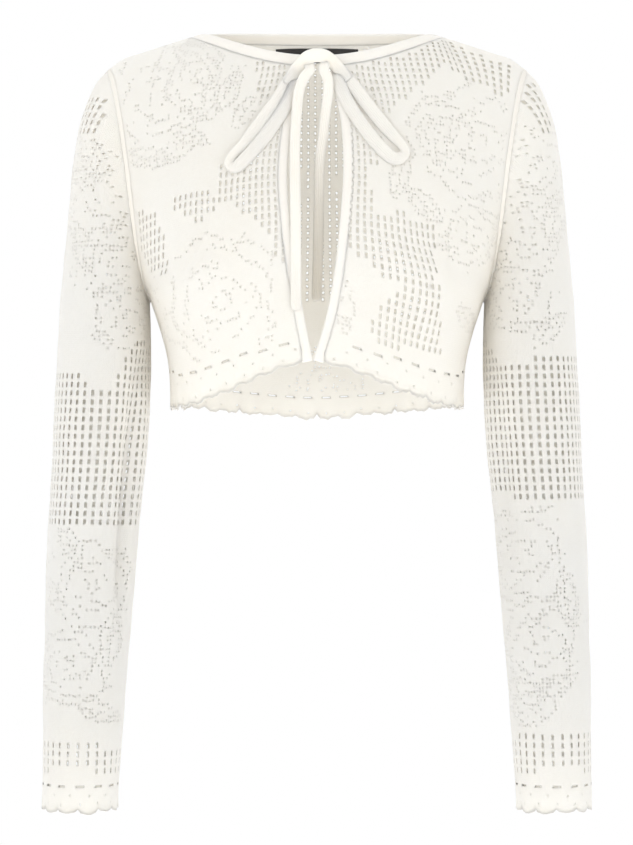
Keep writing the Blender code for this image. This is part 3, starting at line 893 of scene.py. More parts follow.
t.links.new(yarn, result["Height"])
t.links.new(maths(t, "SUBTRACT", 1.0, maths(t, "POWER", yarn, 0.5)), result["Gap"])
print("group:", t.name, len(t.nodes), "nodes")

# %% Fuzz of spun yarn
yarn_fuzz, given, result = new_group(
    "yarn fuzz", (("Scale", FLOAT, 1600.0),), (("Height", FLOAT), ("Tuft", FLOAT))
)
t = yarn_fuzz
place = node(t, "ShaderNodeTexCoord").outputs["Object"]
fine = node(t, "ShaderNodeTexNoise", (place,), noise_dimensions="3D")
t.links.new(given["Scale"], fine.inputs["Scale"])
fine.inputs["Detail"].default_value = 3.0
broad = node(t, "ShaderNodeTexNoise", (place,))
broad.inputs["Scale"].default_value = 260.0
t.links.new(fine.outputs[0], result["Height"])
t.links.new(broad.outputs[0], result["Tuft"])
print("group:", t.name, len(t.nodes), "nodes")

# %% A soft drift of colour, and painted shade in the gaps
drift_and_gap_shade, given, result = new_group(
    "drift and gap shade",
    (("Light", COLOUR, (1, 1, 1, 1)), ("Deep", COLOUR, (0.9, 0.9, 0.9, 1)), ("Gap", FLOAT, 0.0)),
    (("Colour", COLOUR), ("Mask", FLOAT)),
)
t = drift_and_gap_shade
place = node(t, "ShaderNodeTexCoord").outputs["Object"]
drift = node(t, "ShaderNodeTexNoise", (place,))
drift.inputs["Scale"].default_value = 11.0
drift.inputs["Detail"].default_value = 2.0
speck = node(t, "ShaderNodeTexNoise", (place,))
speck.inputs["Scale"].default_value = 420.0
shares = [maths(t, "MULTIPLY", noise.outputs[0], share) for noise, share in ((drift, 0.7), (speck, 0.3))]
mask = maths(t, "ADD", *shares)
# painted shade: the gaps between the yarn legs lean towards the deep colour
shade = maths(t, "ADD", mask, maths(t, "MULTIPLY", given["Gap"], 0.6))
level = node(t, "ShaderNodeMapRange", (shade, 0.3, 1.0, 0.0, 1.0)).outputs[0]
mix = node(t, "ShaderNodeMix", data_type="RGBA")
t.links.new(level, mix.inputs["Factor"])
t.links.new(given["Light"], mix.inputs[6])
t.links.new(given["Deep"], mix.inputs[7])
t.links.new(mix.outputs[2], result["Colour"])
t.links.new(level, result["Mask"])
print("group:", t.name, len(t.nodes), "nodes")

# %% [markdown]
# ## The finishes
# All the ivory yarn is one cotton, but each piece is knitted at its own gauge: the panels are fine, the
# bands are tighter, and the tie is a narrow knitted strap. Shade is painted into the colour round each
# hole and along a lower edge, so that they read darker. Light wanders inside cotton before it comes out
# again. The seam at the armhole is a thin closed tube, which would look grey that way, so its finish
# leaves that out. The label is black satin: its weave is drawn with waves, and it shines a little.

# %% Knitted finishes
IVORY_LIGHT, IVORY_DEEP = (0.95, 0.905, 0.82), (0.89, 0.835, 0.735)
BAND_LIGHT, BAND_DEEP = (0.84, 0.81, 0.755), (0.79, 0.755, 0.695)
TIE_LIGHT, TIE_DEEP = (0.87, 0.835, 0.765), (0.81, 0.77, 0.70)
SEAM_LIGHT, SEAM_DEEP = (0.82, 0.793, 0.737), (0.78, 0.748, 0.688)
RIM_SHADE, RIM_SHARE = (0.30, 0.28, 0.235), 0.55  # painted shade at the edge of a hole and along a lower edge, and its largest share
ROUGHNESS = (0.80, 0.94)  # of the lightest and of the deepest yarn
YARN_RELIEF = 0.0005  # how far a stitch stands out, in metres
LIGHT_REACH, LIGHT_TINT = 0.006, (1.0, 0.97, 0.92)  # how far light wanders in the yarn, red the furthest


def knit_finish(name, light, deep, wale, course, relief, sheen, through=0.9):
    """An ivory knitted material at one gauge, in millimetres for each stitch.

    through is how much of the light wanders inside the yarn before it comes out."""
    material = bpy.data.materials.new(name)
    material.use_nodes = True
    tree = material.node_tree
    shader = tree.nodes["Principled BSDF"]
    stitch = node(tree, "ShaderNodeUVMap", uv_map="stitch").outputs[0]
    rows = node(tree, "ShaderNodeGroup", node_tree=rows_of_stitches)
    tree.links.new(stitch, rows.inputs["Stitch"])
    rows.inputs["Wale"].default_value, rows.inputs["Course"].default_value = wale, course
    fuzz = node(tree, "ShaderNodeGroup", node_tree=yarn_fuzz)
    colour = node(tree, "ShaderNodeGroup", node_tree=drift_and_gap_shade)
    colour.inputs["Light"].default_value = (*light, 1)
    colour.inputs["Deep"].default_value = (*deep, 1)
    # the gaps between stitches get painted shade
    tree.links.new(rows.outputs["Gap"], colour.inputs["Gap"])
    # painted shade: the colour is drawn towards RIM_SHADE where rim is high, round holes and at lower edges
    rim = node(tree, "ShaderNodeAttribute", attribute_name="rim").outputs["Fac"]
    shaded_colour = node(tree, "ShaderNodeMix", data_type="RGBA")
    near = maths(tree, "MULTIPLY", maths(tree, "POWER", rim, 2.0), RIM_SHARE)
    tree.links.new(near, shaded_colour.inputs["Factor"])
    tree.links.new(colour.outputs["Colour"], shaded_colour.inputs[6])
    shaded_colour.inputs[7].default_value = (*RIM_SHADE, 1)
    tree.links.new(shaded_colour.outputs[2], shader.inputs["Base Color"])
    rough = node(tree, "ShaderNodeMapRange", (colour.outputs["Mask"], 0.0, 1.0, *ROUGHNESS)).outputs[0]
    tree.links.new(rough, shader.inputs["Roughness"])
    height = rows.outputs["Height"]
    for part, share in (("Height", 0.5), ("Tuft", 0.6)):
        height = maths(tree, "ADD", height, maths(tree, "MULTIPLY", fuzz.outputs[part], share))
    bump = node(tree, "ShaderNodeBump")
    bump.inputs["Strength"].default_value = relief
    bump.inputs["Distance"].default_value = YARN_RELIEF
    tree.links.new(height, bump.inputs["Height"])
    tree.links.new(bump.outputs[0], shader.inputs["Normal"])
    shader.inputs["Sheen Weight"].default_value = sheen
    shader.inputs["Sheen Roughness"].default_value = 0.5
    shader.inputs["Specular IOR Level"].default_value = 0.15
    shader.inputs["Subsurface Weight"].default_value = through
    shader.inputs["Subsurface Radius"].default_value = LIGHT_TINT
    shader.inputs["Subsurface Scale"].default_value = LIGHT_REACH
    return material


knit = knit_finish("ivory openwork knit", IVORY_LIGHT, IVORY_DEEP, 1.78, 1.8, 0.75, 0.08)
band_knit = knit_finish("ivory band knit", BAND_LIGHT, BAND_DEEP, 1.1, 1.0, 0.45, 0.08)
tie_knit = knit_finish("ivory tie knit", TIE_LIGHT, TIE_DEEP, 1.4, 1.2, 0.6, 0.08)
seam_knit = knit_finish("ivory seam yarn", SEAM_LIGHT, SEAM_DEEP, 1.78, 1.8, 0.5, 0.08, through=0.0)
print("knitted finishes:", knit.name, band_knit.name, tie_knit.name, seam_knit.name)

# %% Black satin
label_weave = bpy.data.materials.new("black satin weave")
label_weave.use_nodes = True
t = label_weave.node_tree
shader = t.nodes["Principled BSDF"]
stitch = node(t, "ShaderNodeUVMap", uv_map="stitch").outputs[0]
warp = node(t, "ShaderNodeTexWave", (stitch,), wave_type="BANDS", bands_direction="DIAGONAL")
warp.inputs["Scale"].default_value = 0.9
warp.inputs["Distortion"].default_value = 0.6
tone = node(t, "ShaderNodeMix", data_type="RGBA")
t.links.new(warp.outputs["Fac"], tone.inputs["Factor"])
tone.inputs[6].default_value = (0.010, 0.009, 0.009, 1)
tone.inputs[7].default_value = (0.022, 0.020, 0.019, 1)
t.links.new(tone.outputs[2], shader.inputs["Base Color"])
bump = node(t, "ShaderNodeBump")
bump.inputs["Strength"].default_value = 0.4
bump.inputs["Distance"].default_value = 0.0002
t.links.new(warp.outputs["Fac"], bump.inputs["Height"])
t.links.new(bump.outputs[0], shader.inputs["Normal"])
shader.inputs["Roughness"].default_value = 0.45
print("label finish:", label_weave.name)


# %% [markdown]
# ## Putting a piece on the garment
# Every piece rides on the one body of the model and stands for the solid that it covers. The cloth is
# given its thickness to both sides of the counted mesh, so that an eyelet has a rim of yarn round it.


# %% Helpers for pieces
def piece(name, mesh, material, slot, *nodes):
    """An object on the garment's body, in place of its solids."""
    made = bpy.data.objects.new(name, mesh)
    made.data.materials.append(material)
    bpy.context.scene.collection.objects.link(made)
    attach(made, "root")
    if nodes:
        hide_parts(*nodes)
    return made


def thicken(made, wall):
    """Give a piece its thickness in millimetres, half of it to each side."""
    solid = made.modifiers.new("wall", "SOLIDIFY")
    solid.thickness = wall * MM
    solid.offset = 0
    return made


def area_of(mesh):
    """The cloth of a mesh before its thickness, in square metres."""
    return sum(polygon.area for polygon in mesh.polygons)


def sweep(name, centres, across, half_width, half_thick, sides=16, squareness=2.0, closed=False):
    """A tube with an oval or squarish section along a line of points, capped unless it is closed."""
    centres = np.asarray(centres, float)
    count = len(centres)
    if closed:
        tangent = unit(np.roll(centres, -1, axis=0) - np.roll(centres, 1, axis=0))
    else:
        tangent = unit(np.gradient(centres, axis=0))
    across = across - np.sum(across * tangent, axis=1, keepdims=True) * tangent
    across = unit(across)
    out = np.cross(tangent, across)
    turn = np.linspace(0, 2 * np.pi, sides, endpoint=False)
    cos, sin = np.cos(turn), np.sin(turn)
    wide = np.sign(cos) * np.abs(cos) ** (2 / squareness)
    thick = np.sign(sin) * np.abs(sin) ** (2 / squareness)
    width = np.broadcast_to(half_width, count)[:, None, None]
    depth = np.broadcast_to(half_thick, count)[:, None, None]
    rings = centres[:, None] + width * wide[None, :, None] * across[:, None]
    rings = rings + depth * thick[None, :, None] * out[:, None]
    along = run_of(centres)
    girth = 4 * (np.mean(half_width) + np.mean(half_thick)) * 0.8  # near enough the way round it
    faces, stitch = [], []
    for r in range(count if closed else count - 1):
        far = (r + 1) % count
        reach = along[r + 1] if r + 1 < count else along[-1] + np.linalg.norm(centres[0] - centres[-1])
        for c in range(sides):
            d = (c + 1) % sides
            faces.append((r * sides + c, r * sides + d, far * sides + d, far * sides + c))
            here, there = girth * c / sides, girth * (c + 1) / sides
            stitch += [(here, along[r]), (there, along[r]), (there, reach), (here, reach)]
    if not closed:
        for start, order in ((0, -1), ((count - 1) * sides, 1)):
            faces.append([start + c for c in range(sides)][::order])
            stitch += [(wide[c], thick[c]) for c in range(sides)][::order]
    mesh = bpy.data.meshes.new(name)
    mesh.from_pydata((rings.reshape(-1, 3) * MM).tolist(), [], faces)
    mesh.uv_layers.new(name="stitch").data.foreach_set("uv", np.array(stitch, float).ravel())
    mesh.shade_smooth()
    return mesh


def rounded_ends(count, share=0.03):
    """1 along a strap and less at its two ends, so that they close in a soft edge."""
    at = np.linspace(0, 1, count)
    near = np.clip(np.minimum(at, 1 - at) / share, 0, 1)
    return 0.55 + 0.45 * np.sqrt(near * (2 - near))


print("helpers ready")

# %% [markdown]
# ## The tie
# The tie is one narrow knitted strap that runs through the neck band. Its free ends and its two loops
# are made as separate straps, and the length of each is printed. A strap is wider than it is thick, so it
# is swept as a flat oval that faces forwards, along the solid model's routes. Each loop narrows at its
# tip, where the strap folds over. The knot is a wide turn of the same strap over the middle. It runs
# out along both loops and thins there, so that it lies on them without a step.

# %% Routes of the tie
TAIL_LEFT = table(
    "x z out",
    (-9.5, -29.0, 9.0), (-6.0, -36, 8.6), (-11.5, -44, 7.8), (-15.0, -53, 6.6), (-16.8, -63, 5.2),
    (-17.6, -73, 3.8), (-18.4, -84, 2.2), (-19.0, -97, 1.2), (-19.3, -112, 0.8), (-19.2, -128, 0.6),
    (-18.9, -145, 0.5), (-18.6, -163, 0.4), (-18.4, -181, 0.4), (-18.3, -199, 0.4), (-18.2, -217, 0.4),
    (-18.2, -234, 0.4), (-18.3, -249, 0.4),
)
TAIL_CENTRE = table(
    "x y z",
    (9.0, -83, -29.5), (5.8, -83.2, -36), (9.2, -83.2, -45), (9.8, -83.6, -56), (8.2, -84, -69),
    (6.6, -84.4, -82), (5.2, -85, -96), (3.2, -85.5, -108), (2.0, -86, -122), (1.8, -86.5, -138),
    (1.6, -87, -154), (1.3, -87.5, -171), (1.0, -88, -188), (0.6, -88.5, -205), (0.1, -89, -222),
    (-0.4, -89.5, -240),
)
LOOP_LEFT = table(
    "x z out",
    (-12.0, -27.5, 1.0), (-18.0, -36, 1.0), (-25.0, -47, 0.7), (-34.1, -62.5, 0.4), (-44.6, -77.4, 0.4),
    (-54.2, -91, 0.4), (-63.8, -103.5, 0.4), (-70.5, -110, 0.4), (-75.2, -115.6, 0.4),
    (-75.6, -121.5, 0.4), (-70.0, -123.4, 0.4), (-62.4, -116.5, 0.4), (-52.0, -104.8, 0.4),
    (-41.5, -91.0, 0.4), (-31.5, -75.5, 0.4), (-23.8, -60.5, 0.4), (-19.0, -49.5, 0.4),
    (-14.0, -41.5, 0.2),
)
LOOP_RIGHT = table(
    "x z out",
    (11.5, -27.0, 1.0), (18.0, -34, 1.0), (25.5, -42.5, 0.7), (35.0, -55, 0.4), (45.6, -69.8, 0.4),
    (56.4, -84, 0.4), (66.0, -95.5, 0.4), (73.2, -103, 0.4), (76.8, -109.5, 0.4), (73.2, -115.2, 0.4),
    (66.0, -115.6, 0.4), (57.6, -109, 0.4), (48.4, -98.4, 0.4), (39.0, -85.6, 0.4), (30.2, -71.6, 0.4),
    (23.0, -58, 0.4), (18.6, -47.5, 0.4), (14.0, -40.0, 0.2),
)
KNOT = table(
    "x y z wide",
    (-27.0, -80.6, -50.2, 5.2), (-22.2, -78.2, -42.6, 5.5), (-17.8, -77.4, -35.8, 5.7),
    (-13.0, -79.6, -30.0, 5.9), (-7.2, -83.0, -25.7, 6.1), (0.0, -84.4, -24.2, 6.2),
    (7.2, -83.0, -25.4, 6.1), (13.4, -79.2, -29.4, 5.9), (18.2, -76.6, -34.2, 5.7),
    (23.0, -76.6, -39.6, 5.5), (28.4, -78.9, -46.2, 5.2),
)
TAIL_HALF_WIDTH, LOOP_HALF_WIDTH, STRAP_HALF_THICK = 4.6, 5.9, 1.2
STRAP_LIFT = 1.3 + STRAP_HALF_THICK + 0.3  # half of a band's solid, half the strap and a little air
STRAP_SQUARENESS = 3.4


def laid(route):
    """A strap's route with its depth, so that it lies on the front panels."""
    depth = [on_front(x, z) - STRAP_LIFT - out for x, z, out in zip(route["x"], route["z"], route["out"])]
    return {**route, "y": np.array(depth)}


print("points of each route:", [len(r["x"]) for r in (TAIL_LEFT, TAIL_CENTRE, LOOP_LEFT, LOOP_RIGHT, KNOT)])


# %% Make the straps
KNOT_POINTS = 60
KNOT_HALF_THICK, KNOT_THINS = 1.8, 0.8  # in the middle, and how much of that is gone at its two ends
LOOP_FOLD, FOLD_REACH, FOLD_NARROWS = 0.47, 0.06, 0.26  # where a loop folds, over what share, and how much


def strap(name, points, half_width, half_thick, node_name):
    """A flat strap that faces forwards, in place of its solid. Its half width and thickness may change."""
    tangent = unit(np.gradient(points, axis=0))
    forwards = np.array([[0.0, -1.0, 0.0]])
    across = np.cross(forwards, tangent)
    ends = rounded_ends(len(points))
    mesh = sweep(name, points, across, half_width * ends, half_thick * ends, squareness=STRAP_SQUARENESS)
    return piece(name, mesh, tie_knit, "tie_knit", node_name)


knot_points = smooth_route(KNOT, "xyz", KNOT_POINTS)
rows = np.arange(len(KNOT["wide"]))
knot_width = np.interp(np.linspace(0, rows[-1], KNOT_POINTS), rows, KNOT["wide"])
knot_thick = KNOT_HALF_THICK - KNOT_THINS * np.abs(np.linspace(-1, 1, KNOT_POINTS)) ** 3
knot = strap("knot", knot_points, knot_width, knot_thick, "bow_knot")
for name, route, count, half_width, node_name, far_end, with_pieces in (
    ("tail_left", laid(TAIL_LEFT), 90, TAIL_HALF_WIDTH, "tie_tail_left", "bare", [knot]),
    ("tail_centre", TAIL_CENTRE, 90, TAIL_HALF_WIDTH, "tie_tail_centre", "bare", []),
    ("loop_left", laid(LOOP_LEFT), 110, LOOP_HALF_WIDTH, "bow_loop_left", "object", []),
    ("loop_right", laid(LOOP_RIGHT), 110, LOOP_HALF_WIDTH, "bow_loop_right", "object", []),
):
    points = smooth_route(route, "xyz", count)
    from_fold = (np.linspace(0, 1, count) - LOOP_FOLD) / FOLD_REACH
    fold = np.exp(-(from_fold**2)) if far_end == "object" else 0
    made = strap(name, points, half_width * (1 - FOLD_NARROWS * fold), STRAP_HALF_THICK, node_name)
    length = run_of(points)[-1] * MM
    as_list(with_pieces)
    print(name, "is %.3f m long" % length)

# %% [markdown]
# ## The front panels
# Each front is counted at 56 wales, and up to eight spare ones fill its corner at the opening. Its
# lower edge is drawn down into ten scallops of uneven size, the lowest four courses with it, and a row
# of short slots runs above them. A thin roll of yarn, with the same painted shade as the courses beside
# it, finishes the edge.

# %% Helpers for panels
SCALLOP_DEPTH, RUFFLE = 4.4, 1.1  # how far the lobes of an edge hang down, and wave in and out
SCALLOP_COURSES = 4
CLOTH_WALL, ROLL_RADIUS = 1.6, 0.85
DASH_ROW = 5  # the course of the row of dashes


def scalloped(chart, lobes, picots=True):
    """A chart with its lowest courses drawn down into uneven lobes, and ruffled in and out.

    picots are the small points of single stitches on an edge that is open at its two ends."""
    out = unit(np.cross(np.gradient(chart[:, 0], axis=0), [[0, 0, 1.0]]))
    share = np.linspace(0, 1, len(chart)) * lobes
    number, within = np.floor(share), share % 1
    size = 0.8 + 0.3 * np.sin(2.4 * number + 1.0) * np.sin(1.1 * number + lobes)
    lobe = size * np.abs(np.sin(np.pi * within)) ** 0.6 + 0.14 * np.abs(np.sin(3 * np.pi * within))
    wales = np.arange(len(chart))
    lobe = lobe + picots * (0.12 * (-1.0) ** wales + 0.1 * np.sin(7.3 * wales))
    fade = np.clip(1 - np.arange(chart.shape[1]) / SCALLOP_COURSES, 0, 1) ** 1.3
    ruffle = RUFFLE * np.sin(2 * np.pi * share + 0.8) * size
    chart = chart.copy()
    chart[..., 2] -= SCALLOP_DEPTH * (lobe[:, None] - 0.4) * fade[None, :]
    return chart + (ruffle[:, None] * fade[None, :])[..., None] * out[:, None]


def rolled_edge(name, line, closed=False):
    """A thin roll of yarn along an edge, with painted shade."""
    upwards = np.tile([[0.0, 0.0, 1.0]], (len(line), 1))
    mesh = sweep(name, line, upwards, ROLL_RADIUS, ROLL_RADIUS, sides=8, closed=closed)
    # the whole roll gets painted shade as deep as the first course of a lower edge
    give_shade_depth(mesh, np.full(len(mesh.vertices), EDGE_SHADE[0]))
    return piece(name, mesh, knit, "knit")


def knit_piece(name, chart, counts, closed, dash_step, gauge, tops=None, dash_row=None, snug=1.0):
    """A counted panel with its holes and its thickness, in place of its solid."""
    if dash_row is None:
        dash_row = np.full(len(chart), DASH_ROW)
    kinds = stitches(name, chart, counts, closed, dash_step, dash_row)
    if tops is None:
        tops = np.maximum(counts[:-1], counts[1:])
    mesh = knit_mesh(name + "_knit", chart, counts, kinds, closed, gauge, tops, snug)
    made = thicken(piece(name + "_knit", mesh, knit, "knit", name), CLOTH_WALL)
    holes = {kind: int((kinds == value + 1).sum()) for value, kind in enumerate(OPEN_CELLS)}
    print(name, "area %.4f m2" % area_of(mesh), "faces", len(mesh.polygons), holes)
    return made


print("cloth wall", CLOTH_WALL, "mm")

# %% Make the fronts
FRONT_WALES, SPARE_WALES, FRONT_LOBES = 56, 8, 10
DASH_RISE = 2  # how far the row of dashes climbs towards the side, in courses
LEVEL_BY = -155.0  # the height by which the courses have come level over the dips of the hem
FINE_LEVELS = np.linspace(0, 0.9995, 160)
SEWN = 0.05  # how far a panel stops short of its seam line


def cut_at(wale, edge):
    """A spare wale from the hem to the place where it meets the opening's edge."""
    past = np.nonzero(wale[:, 0] <= edge[:, 0] + 0.1)[0]
    last = max(int(past[0]), 1) if len(past) else len(wale) - 1
    return np.concatenate([wale[:last], edge[last : last + 1]])


for side in ("left", "right"):
    sizes = ("front", side, FRONT_BAND_WIDTH, SEWN, FRONT_WALES, FINE_LEVELS)
    grid = panel(*sizes, gather=0.12, spare=SPARE_WALES)
    opening_edge = panel(*sizes)[:, 0]
    push = (folds(grid) + waves(grid))[..., None] * held_edges(grid, opening_edge)
    grid = grid + normals_of(grid) * push
    wales = [cut_at(grid[:, w], opening_edge) for w in range(SPARE_WALES)]
    wales = [wale for wale in wales if wale[-1, 2] > wale[0, 2] + 2 * FRONT_COURSE]
    spare = len(wales)
    wales += [grid[:, w] for w in range(SPARE_WALES, grid.shape[1])]
    chart, counts = counted(wales, FRONT_COURSE, LEVEL_BY)
    tops = np.maximum(counts[:-1], counts[1:])
    tops[spare - 1] = int((chart[spare, :, 2] < PLUMB_Z).sum())
    chart = scalloped(chart, FRONT_LOBES)
    dash_row = np.round(DASH_ROW + DASH_RISE * np.linspace(0, 1, len(chart))).astype(int)
    if side == "left":
        chart, counts, tops, dash_row = mirrored(chart)[::-1], counts[::-1], tops[::-1], dash_row[::-1]
    gauge = (FRONT_WALE, FRONT_COURSE)
    front = knit_piece(f"front_{side}", chart, counts, False, 6, gauge, tops, dash_row)
    edge = rolled_edge(f"front_hem_{side}", chart[:, 0])

# %% [markdown]
# ## The back
# The back is one panel with no opening. The photograph shows only the strip of it behind the front
# opening, under the front hem and above the neck, so the rest carries the same net, roses and leaves in
# an order of its own. Its net is drawn smaller, with deeper painted shade round each hole, because its
# holes are seen against the white behind.

# %% Make the back
BACK_WALES, BACK_WALE, BACK_COURSE, BACK_LOBES = 110, 3.95, 3.1, 20
BACK_SNUG = 0.66  # the size of its net's holes beside those of the fronts; smaller holes get deeper painted shade
half = panel("back", None, 0, SEWN, BACK_WALES // 2, FINE_LEVELS, gather=0.05)
grid = np.concatenate([mirrored(half)[:, ::-1], half[:, 1:]], axis=1)
grid = grid + normals_of(grid) * ((folds(grid, 0.8) + waves(grid))[..., None] * held_edges(grid))
chart, counts = counted(grid.transpose(1, 0, 2), BACK_COURSE)
chart = scalloped(chart, BACK_LOBES)
back = knit_piece("back", chart, counts, False, 5, (BACK_WALE, BACK_COURSE), snug=BACK_SNUG)
edge = rolled_edge("back_hem", chart[:, 0])

# %% [markdown]
# ## The sleeves
# A sleeve is counted as a tube of 84 wales. Its courses are counted from the cuff, where they are
# level, up to the armhole, which cuts them short. The body and the sleeve meet there in a shallow
# valley, and a flat seam of yarn bridges it. The left sleeve bends a little more than the right, so the
# fold inside its elbow is deeper.

# %% Shape the sleeves
SLEEVE_WALES, SLEEVE_WALE, SLEEVE_COURSE = 84, 3.6, 3.8
CUFF_LOBES = 12
ELBOW_FOLD = {"left": 9.0, "right": 1.5}  # how deep the fold inside each elbow is
FOLD_ANGLE, FOLD_Z = 140.0, -425.0  # where it lies, in degrees round the arm and in height
FOLD_WIDE, FOLD_TALL = 13.0, 95.0  # its reach, in degrees and in millimetres
MIDDLE_OF_ARM = (41.5, 54.0)  # half of its width and depth


def sleeve_angles(wales):
    """Angles at which the wales stand equally far apart round the middle of the arm."""
    fine = np.linspace(0, 2 * np.pi, 2001)
    wide, deep = MIDDLE_OF_ARM
    oval = np.stack([wide * np.cos(fine), deep * np.sin(fine), 0 * fine], axis=1)
    gone = run_of(oval)
    return np.interp(np.linspace(0, gone[-1], wales + 1), gone, fine)


angles = sleeve_angles(SLEEVE_WALES)
levels = np.linspace(1, 0, 220)[:, None]


def sleeve_grid(fold):
    """The right sleeve with its waves, and a fold inside the elbow of the given depth."""
    plain = sleeve(levels, angles[None, :])
    off = (np.degrees(angles)[None, :] - FOLD_ANGLE) / FOLD_WIDE
    deeper = fold * np.exp(-(off**2) - ((plain[..., 2] - FOLD_Z) / FOLD_TALL) ** 4)
    plain = sleeve(levels, angles[None, :], deeper)
    push = waves(plain)[..., None] * np.clip(levels / 0.08, 0, 1)[..., None]
    grid = plain + normals_of(plain, closed=True) * push
    grid[:, -1] = grid[:, 0]
    return grid


print("wales of a sleeve:", len(angles) - 1, "levels:", len(levels))

# %% Run the seam round the armhole
SEAM_HALF_WIDTH, SEAM_HALF_THICK = 3.6, 1.0
SEAM_LIFT = 0.4  # how far it lies out of the valley, as a share of its half width
seam_turn = np.linspace(0, 2 * np.pi, 90, endpoint=False)
seam_line = np.stack(armhole(seam_turn), axis=1)
seam_level = 1 - (1 - UNDERARM_LEVEL) * np.minimum(seam_turn, 2 * np.pi - seam_turn) / np.pi
into_body = []
for facing, opening in (("front", "right"), ("back", None)):
    cloth = panel(facing, opening, 0, 0, 60, seam_level)
    into_body.append(unit(cloth[:, -3] - cloth[:, -1]))
into_body = np.where((seam_turn < np.pi)[:, None], *into_body)
into_sleeve = unit(sleeve(0.02, seam_turn) - sleeve(0.0, seam_turn))
seam_across = into_sleeve - into_body
seam_line = seam_line + SEAM_LIFT * SEAM_HALF_WIDTH * (into_sleeve + into_body)
print("armhole seam %.0f mm round" % run_of(seam_line)[-1])

# %% Make the sleeves
for side in ("left", "right"):
    grid = sleeve_grid(ELBOW_FOLD[side])
    if side == "left":
        grid = mirrored(grid)[:, ::-1]
    chart, counts = counted(grid.transpose(1, 0, 2), SLEEVE_COURSE)
    chart = scalloped(chart, CUFF_LOBES, picots=False)
    made = knit_piece(f"sleeve_{side}", chart, counts, True, 6, (SLEEVE_WALE, SLEEVE_COURSE))
    edge = rolled_edge(f"cuff_{side}", chart[:-1, 0], closed=True)
    line, across = (seam_line, seam_across) if side == "right" else map(mirrored, (seam_line, seam_across))
    seam = sweep(f"armhole_seam_{side}", line, across, SEAM_HALF_WIDTH, SEAM_HALF_THICK, 12, closed=True)
    seam = piece(f"armhole_seam_{side}", seam, seam_knit, "knit")

# %% [markdown]
# ## The bands and the label
# The neck band and the front bands are knitted double, so they are thicker than the panels. Each has a
# flat section like a lens, and laps a little over the edge of its panel. The label is a strip of satin
# sewn inside the back of the neck. It carries no words.

# %% Make the bands
NECK_SECTION, FRONT_SECTION = (6.2, 1.12), (4.8, 1.08)  # half of the width and thickness
NECK_SHIFT = 0.4  # how far the middle of the neck band moves out over the panels
FRONT_SHIFT = 1.2  # the same for the outer line of a front band
LENS = {"sides": 20, "squareness": 2.1}
start = math.asin(NECK_GAP / NECK_HALF_WIDTH)
turn = np.linspace(start, 2 * np.pi - start, 180)
middle, outer = neck_edge(turn, NECK_BAND_WIDTH / 2 + NECK_SHIFT), neck_edge(turn, NECK_BAND_WIDTH)
neck_band = piece(
    "neck_band_knit", sweep("neck_band_knit", middle, outer - middle, *NECK_SECTION, **LENS),
    band_knit, "band_knit", "neck_band",
)
for side in ("left", "right"):
    whole = panel("front", side, 0, 0, 30, FINE_LEVELS)
    inner = np.array([placed(row, [0.0])[0] for row in whole])
    outer = np.array([placed(row, [FRONT_BAND_WIDTH + FRONT_SHIFT])[0] for row in whole])
    if side == "left":
        inner, outer = mirrored(inner), mirrored(outer)
    middle = (inner + outer) / 2
    mesh = sweep(f"front_band_{side}_knit", middle, outer - middle, *FRONT_SECTION, **LENS)
    band = piece(f"front_band_{side}_knit", mesh, band_knit, "band_knit", f"front_band_{side}")
print("bands made")

# %% Make the label
LABEL_WIDTH, LABEL_LEVELS = 76.0, (0.943, 0.985)  # the levels of the back between which it lies
LABEL_COLUMNS, LABEL_WALL = 16, 0.8
LABEL_SHIFT = (0.0, -2.0, 1.5)  # forwards of the cloth, and up
END_DRAWN = 0.16  # how much its ends are drawn down towards its lower edge
WEAVE = (2.5, 2.8)  # how far apart its points lie in the weave, in millimetres
half = panel("back", None, 0, 0, 200, np.linspace(*LABEL_LEVELS, 7))
rows = np.array([placed(row, np.linspace(0, LABEL_WIDTH / 2, LABEL_COLUMNS)) for row in half])
rows = rows[0] + (rows - rows[0]) * (1 - END_DRAWN * (rows[..., :1] / (LABEL_WIDTH / 2)) ** 2)
rows += LABEL_SHIFT
grid = np.concatenate([mirrored(rows)[:, ::-1], rows[:, 1:]], axis=1)
height, width = grid.shape[:2]
faces = [
    (r * width + c, r * width + c + 1, (r + 1) * width + c + 1, (r + 1) * width + c)
    for r in range(height - 1) for c in range(width - 1)
]
mesh = bpy.data.meshes.new("label_satin")
mesh.from_pydata((grid.reshape(-1, 3) * MM).tolist(), [], faces)
layer = mesh.uv_layers.new(name="stitch")
corners = [(c % width * WEAVE[0], c // width * WEAVE[1]) for face in faces for c in face]
layer.data.foreach_set("uv", np.array(corners, float).ravel())
mesh.shade_smooth()
label = thicken(piece("label_satin", mesh, label_weave, "label_weave", "label"), LABEL_WALL)
print("label made, area %.5f m2" % area_of(mesh))

# %% [markdown]
# ## Floor, light and background
# The garment floats before plain white, as on a product page. A pale floor far below it catches a soft
# shadow in the higher views. A large key light from the left models the folds gently, another fills the
# other side, and one stands behind. A weak one from below stands for the light that a white table
# throws back, a small one brightens the hollow inside, and the white surroundings do the rest.

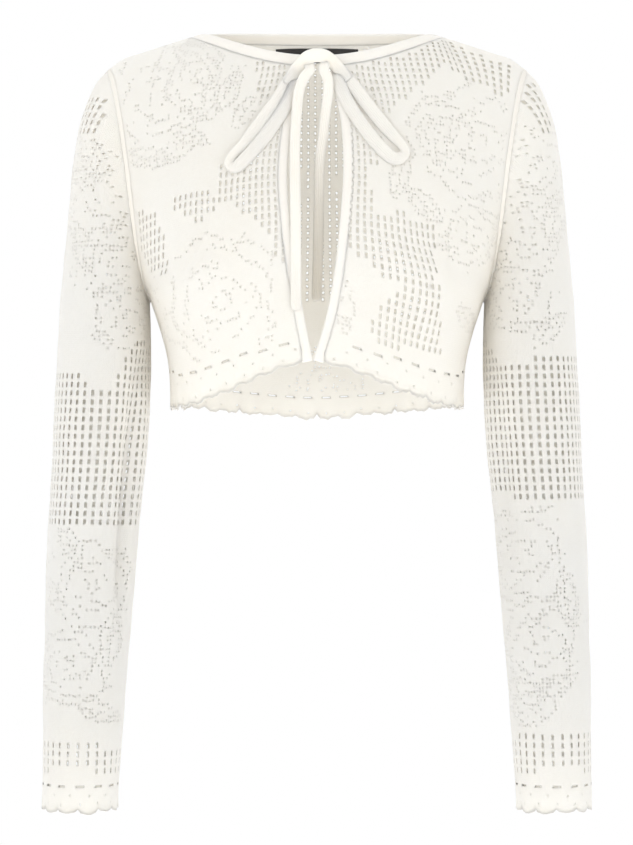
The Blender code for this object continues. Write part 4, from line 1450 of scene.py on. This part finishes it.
# %% Make the floor and the surroundings
FLOOR_RADIUS, FLOOR_Z, FLOOR_SIDES = 5.0, -1.42, 96
disc = bpy.data.meshes.new("floor")
turns = np.linspace(0, 2 * np.pi, FLOOR_SIDES, endpoint=False)
rim = [(FLOOR_RADIUS * math.cos(a), FLOOR_RADIUS * math.sin(a), FLOOR_Z) for a in turns]
disc.from_pydata(rim, [], [tuple(range(FLOOR_SIDES))])
floor = bpy.data.objects.new("floor", disc)
bpy.context.scene.collection.objects.link(floor)
pale = bpy.data.materials.new("pale floor")
pale.use_nodes = True
pale.node_tree.nodes["Principled BSDF"].inputs["Base Color"].default_value = (0.93, 0.93, 0.93, 1)
pale.node_tree.nodes["Principled BSDF"].inputs["Roughness"].default_value = 0.9
disc.materials.append(pale)

world = bpy.data.worlds.new("white surroundings")
bpy.context.scene.world = world
world.use_nodes = True
t = world.node_tree
surroundings = t.nodes["Background"]
surroundings.inputs["Color"].default_value = (1, 1, 1, 1)
direct = node(t, "ShaderNodeLightPath").outputs["Is Camera Ray"]
strength = node(t, "ShaderNodeMapRange", (direct, 0.0, 1.0, 1.07, 1.0)).outputs[0]
t.links.new(strength, surroundings.inputs["Strength"])
print("floor at", FLOOR_Z, "m, world:", world.name)


# %% Set the lights
MIDDLE = (0, 0, -0.33)  # of the garment, in metres


def soft_light(name, place, size, power, aim=MIDDLE):
    """A square area light that faces the garment."""
    lamp = bpy.data.lights.new(name, "AREA")
    lamp.size, lamp.energy = size, power
    made = bpy.data.objects.new(name, lamp)
    made.location = place
    made.visible_camera = False
    towards = np.array(aim) - np.array(place)
    flat = math.hypot(towards[0], towards[1])
    tilt = math.pi / 2 + math.atan2(towards[2], flat)
    made.rotation_euler = (tilt, 0, math.atan2(-towards[0], towards[1]))
    bpy.context.scene.collection.objects.link(made)
    return made


soft_light("key", (-1.7, -2.8, 0.3), 1.8, 20)
soft_light("fill", (2.2, -2.6, -0.8), 2.2, 18)
soft_light("back light", (0.6, 3.0, 1.2), 2.0, 16)
soft_light("table light", (0.0, -0.5, -1.25), 1.4, 2.4)
soft_light("hollow light", (0.0, 0.0, -0.42), 0.16, 0.08, (0, 0, 0))
bpy.context.scene.view_settings.view_transform = "Standard"
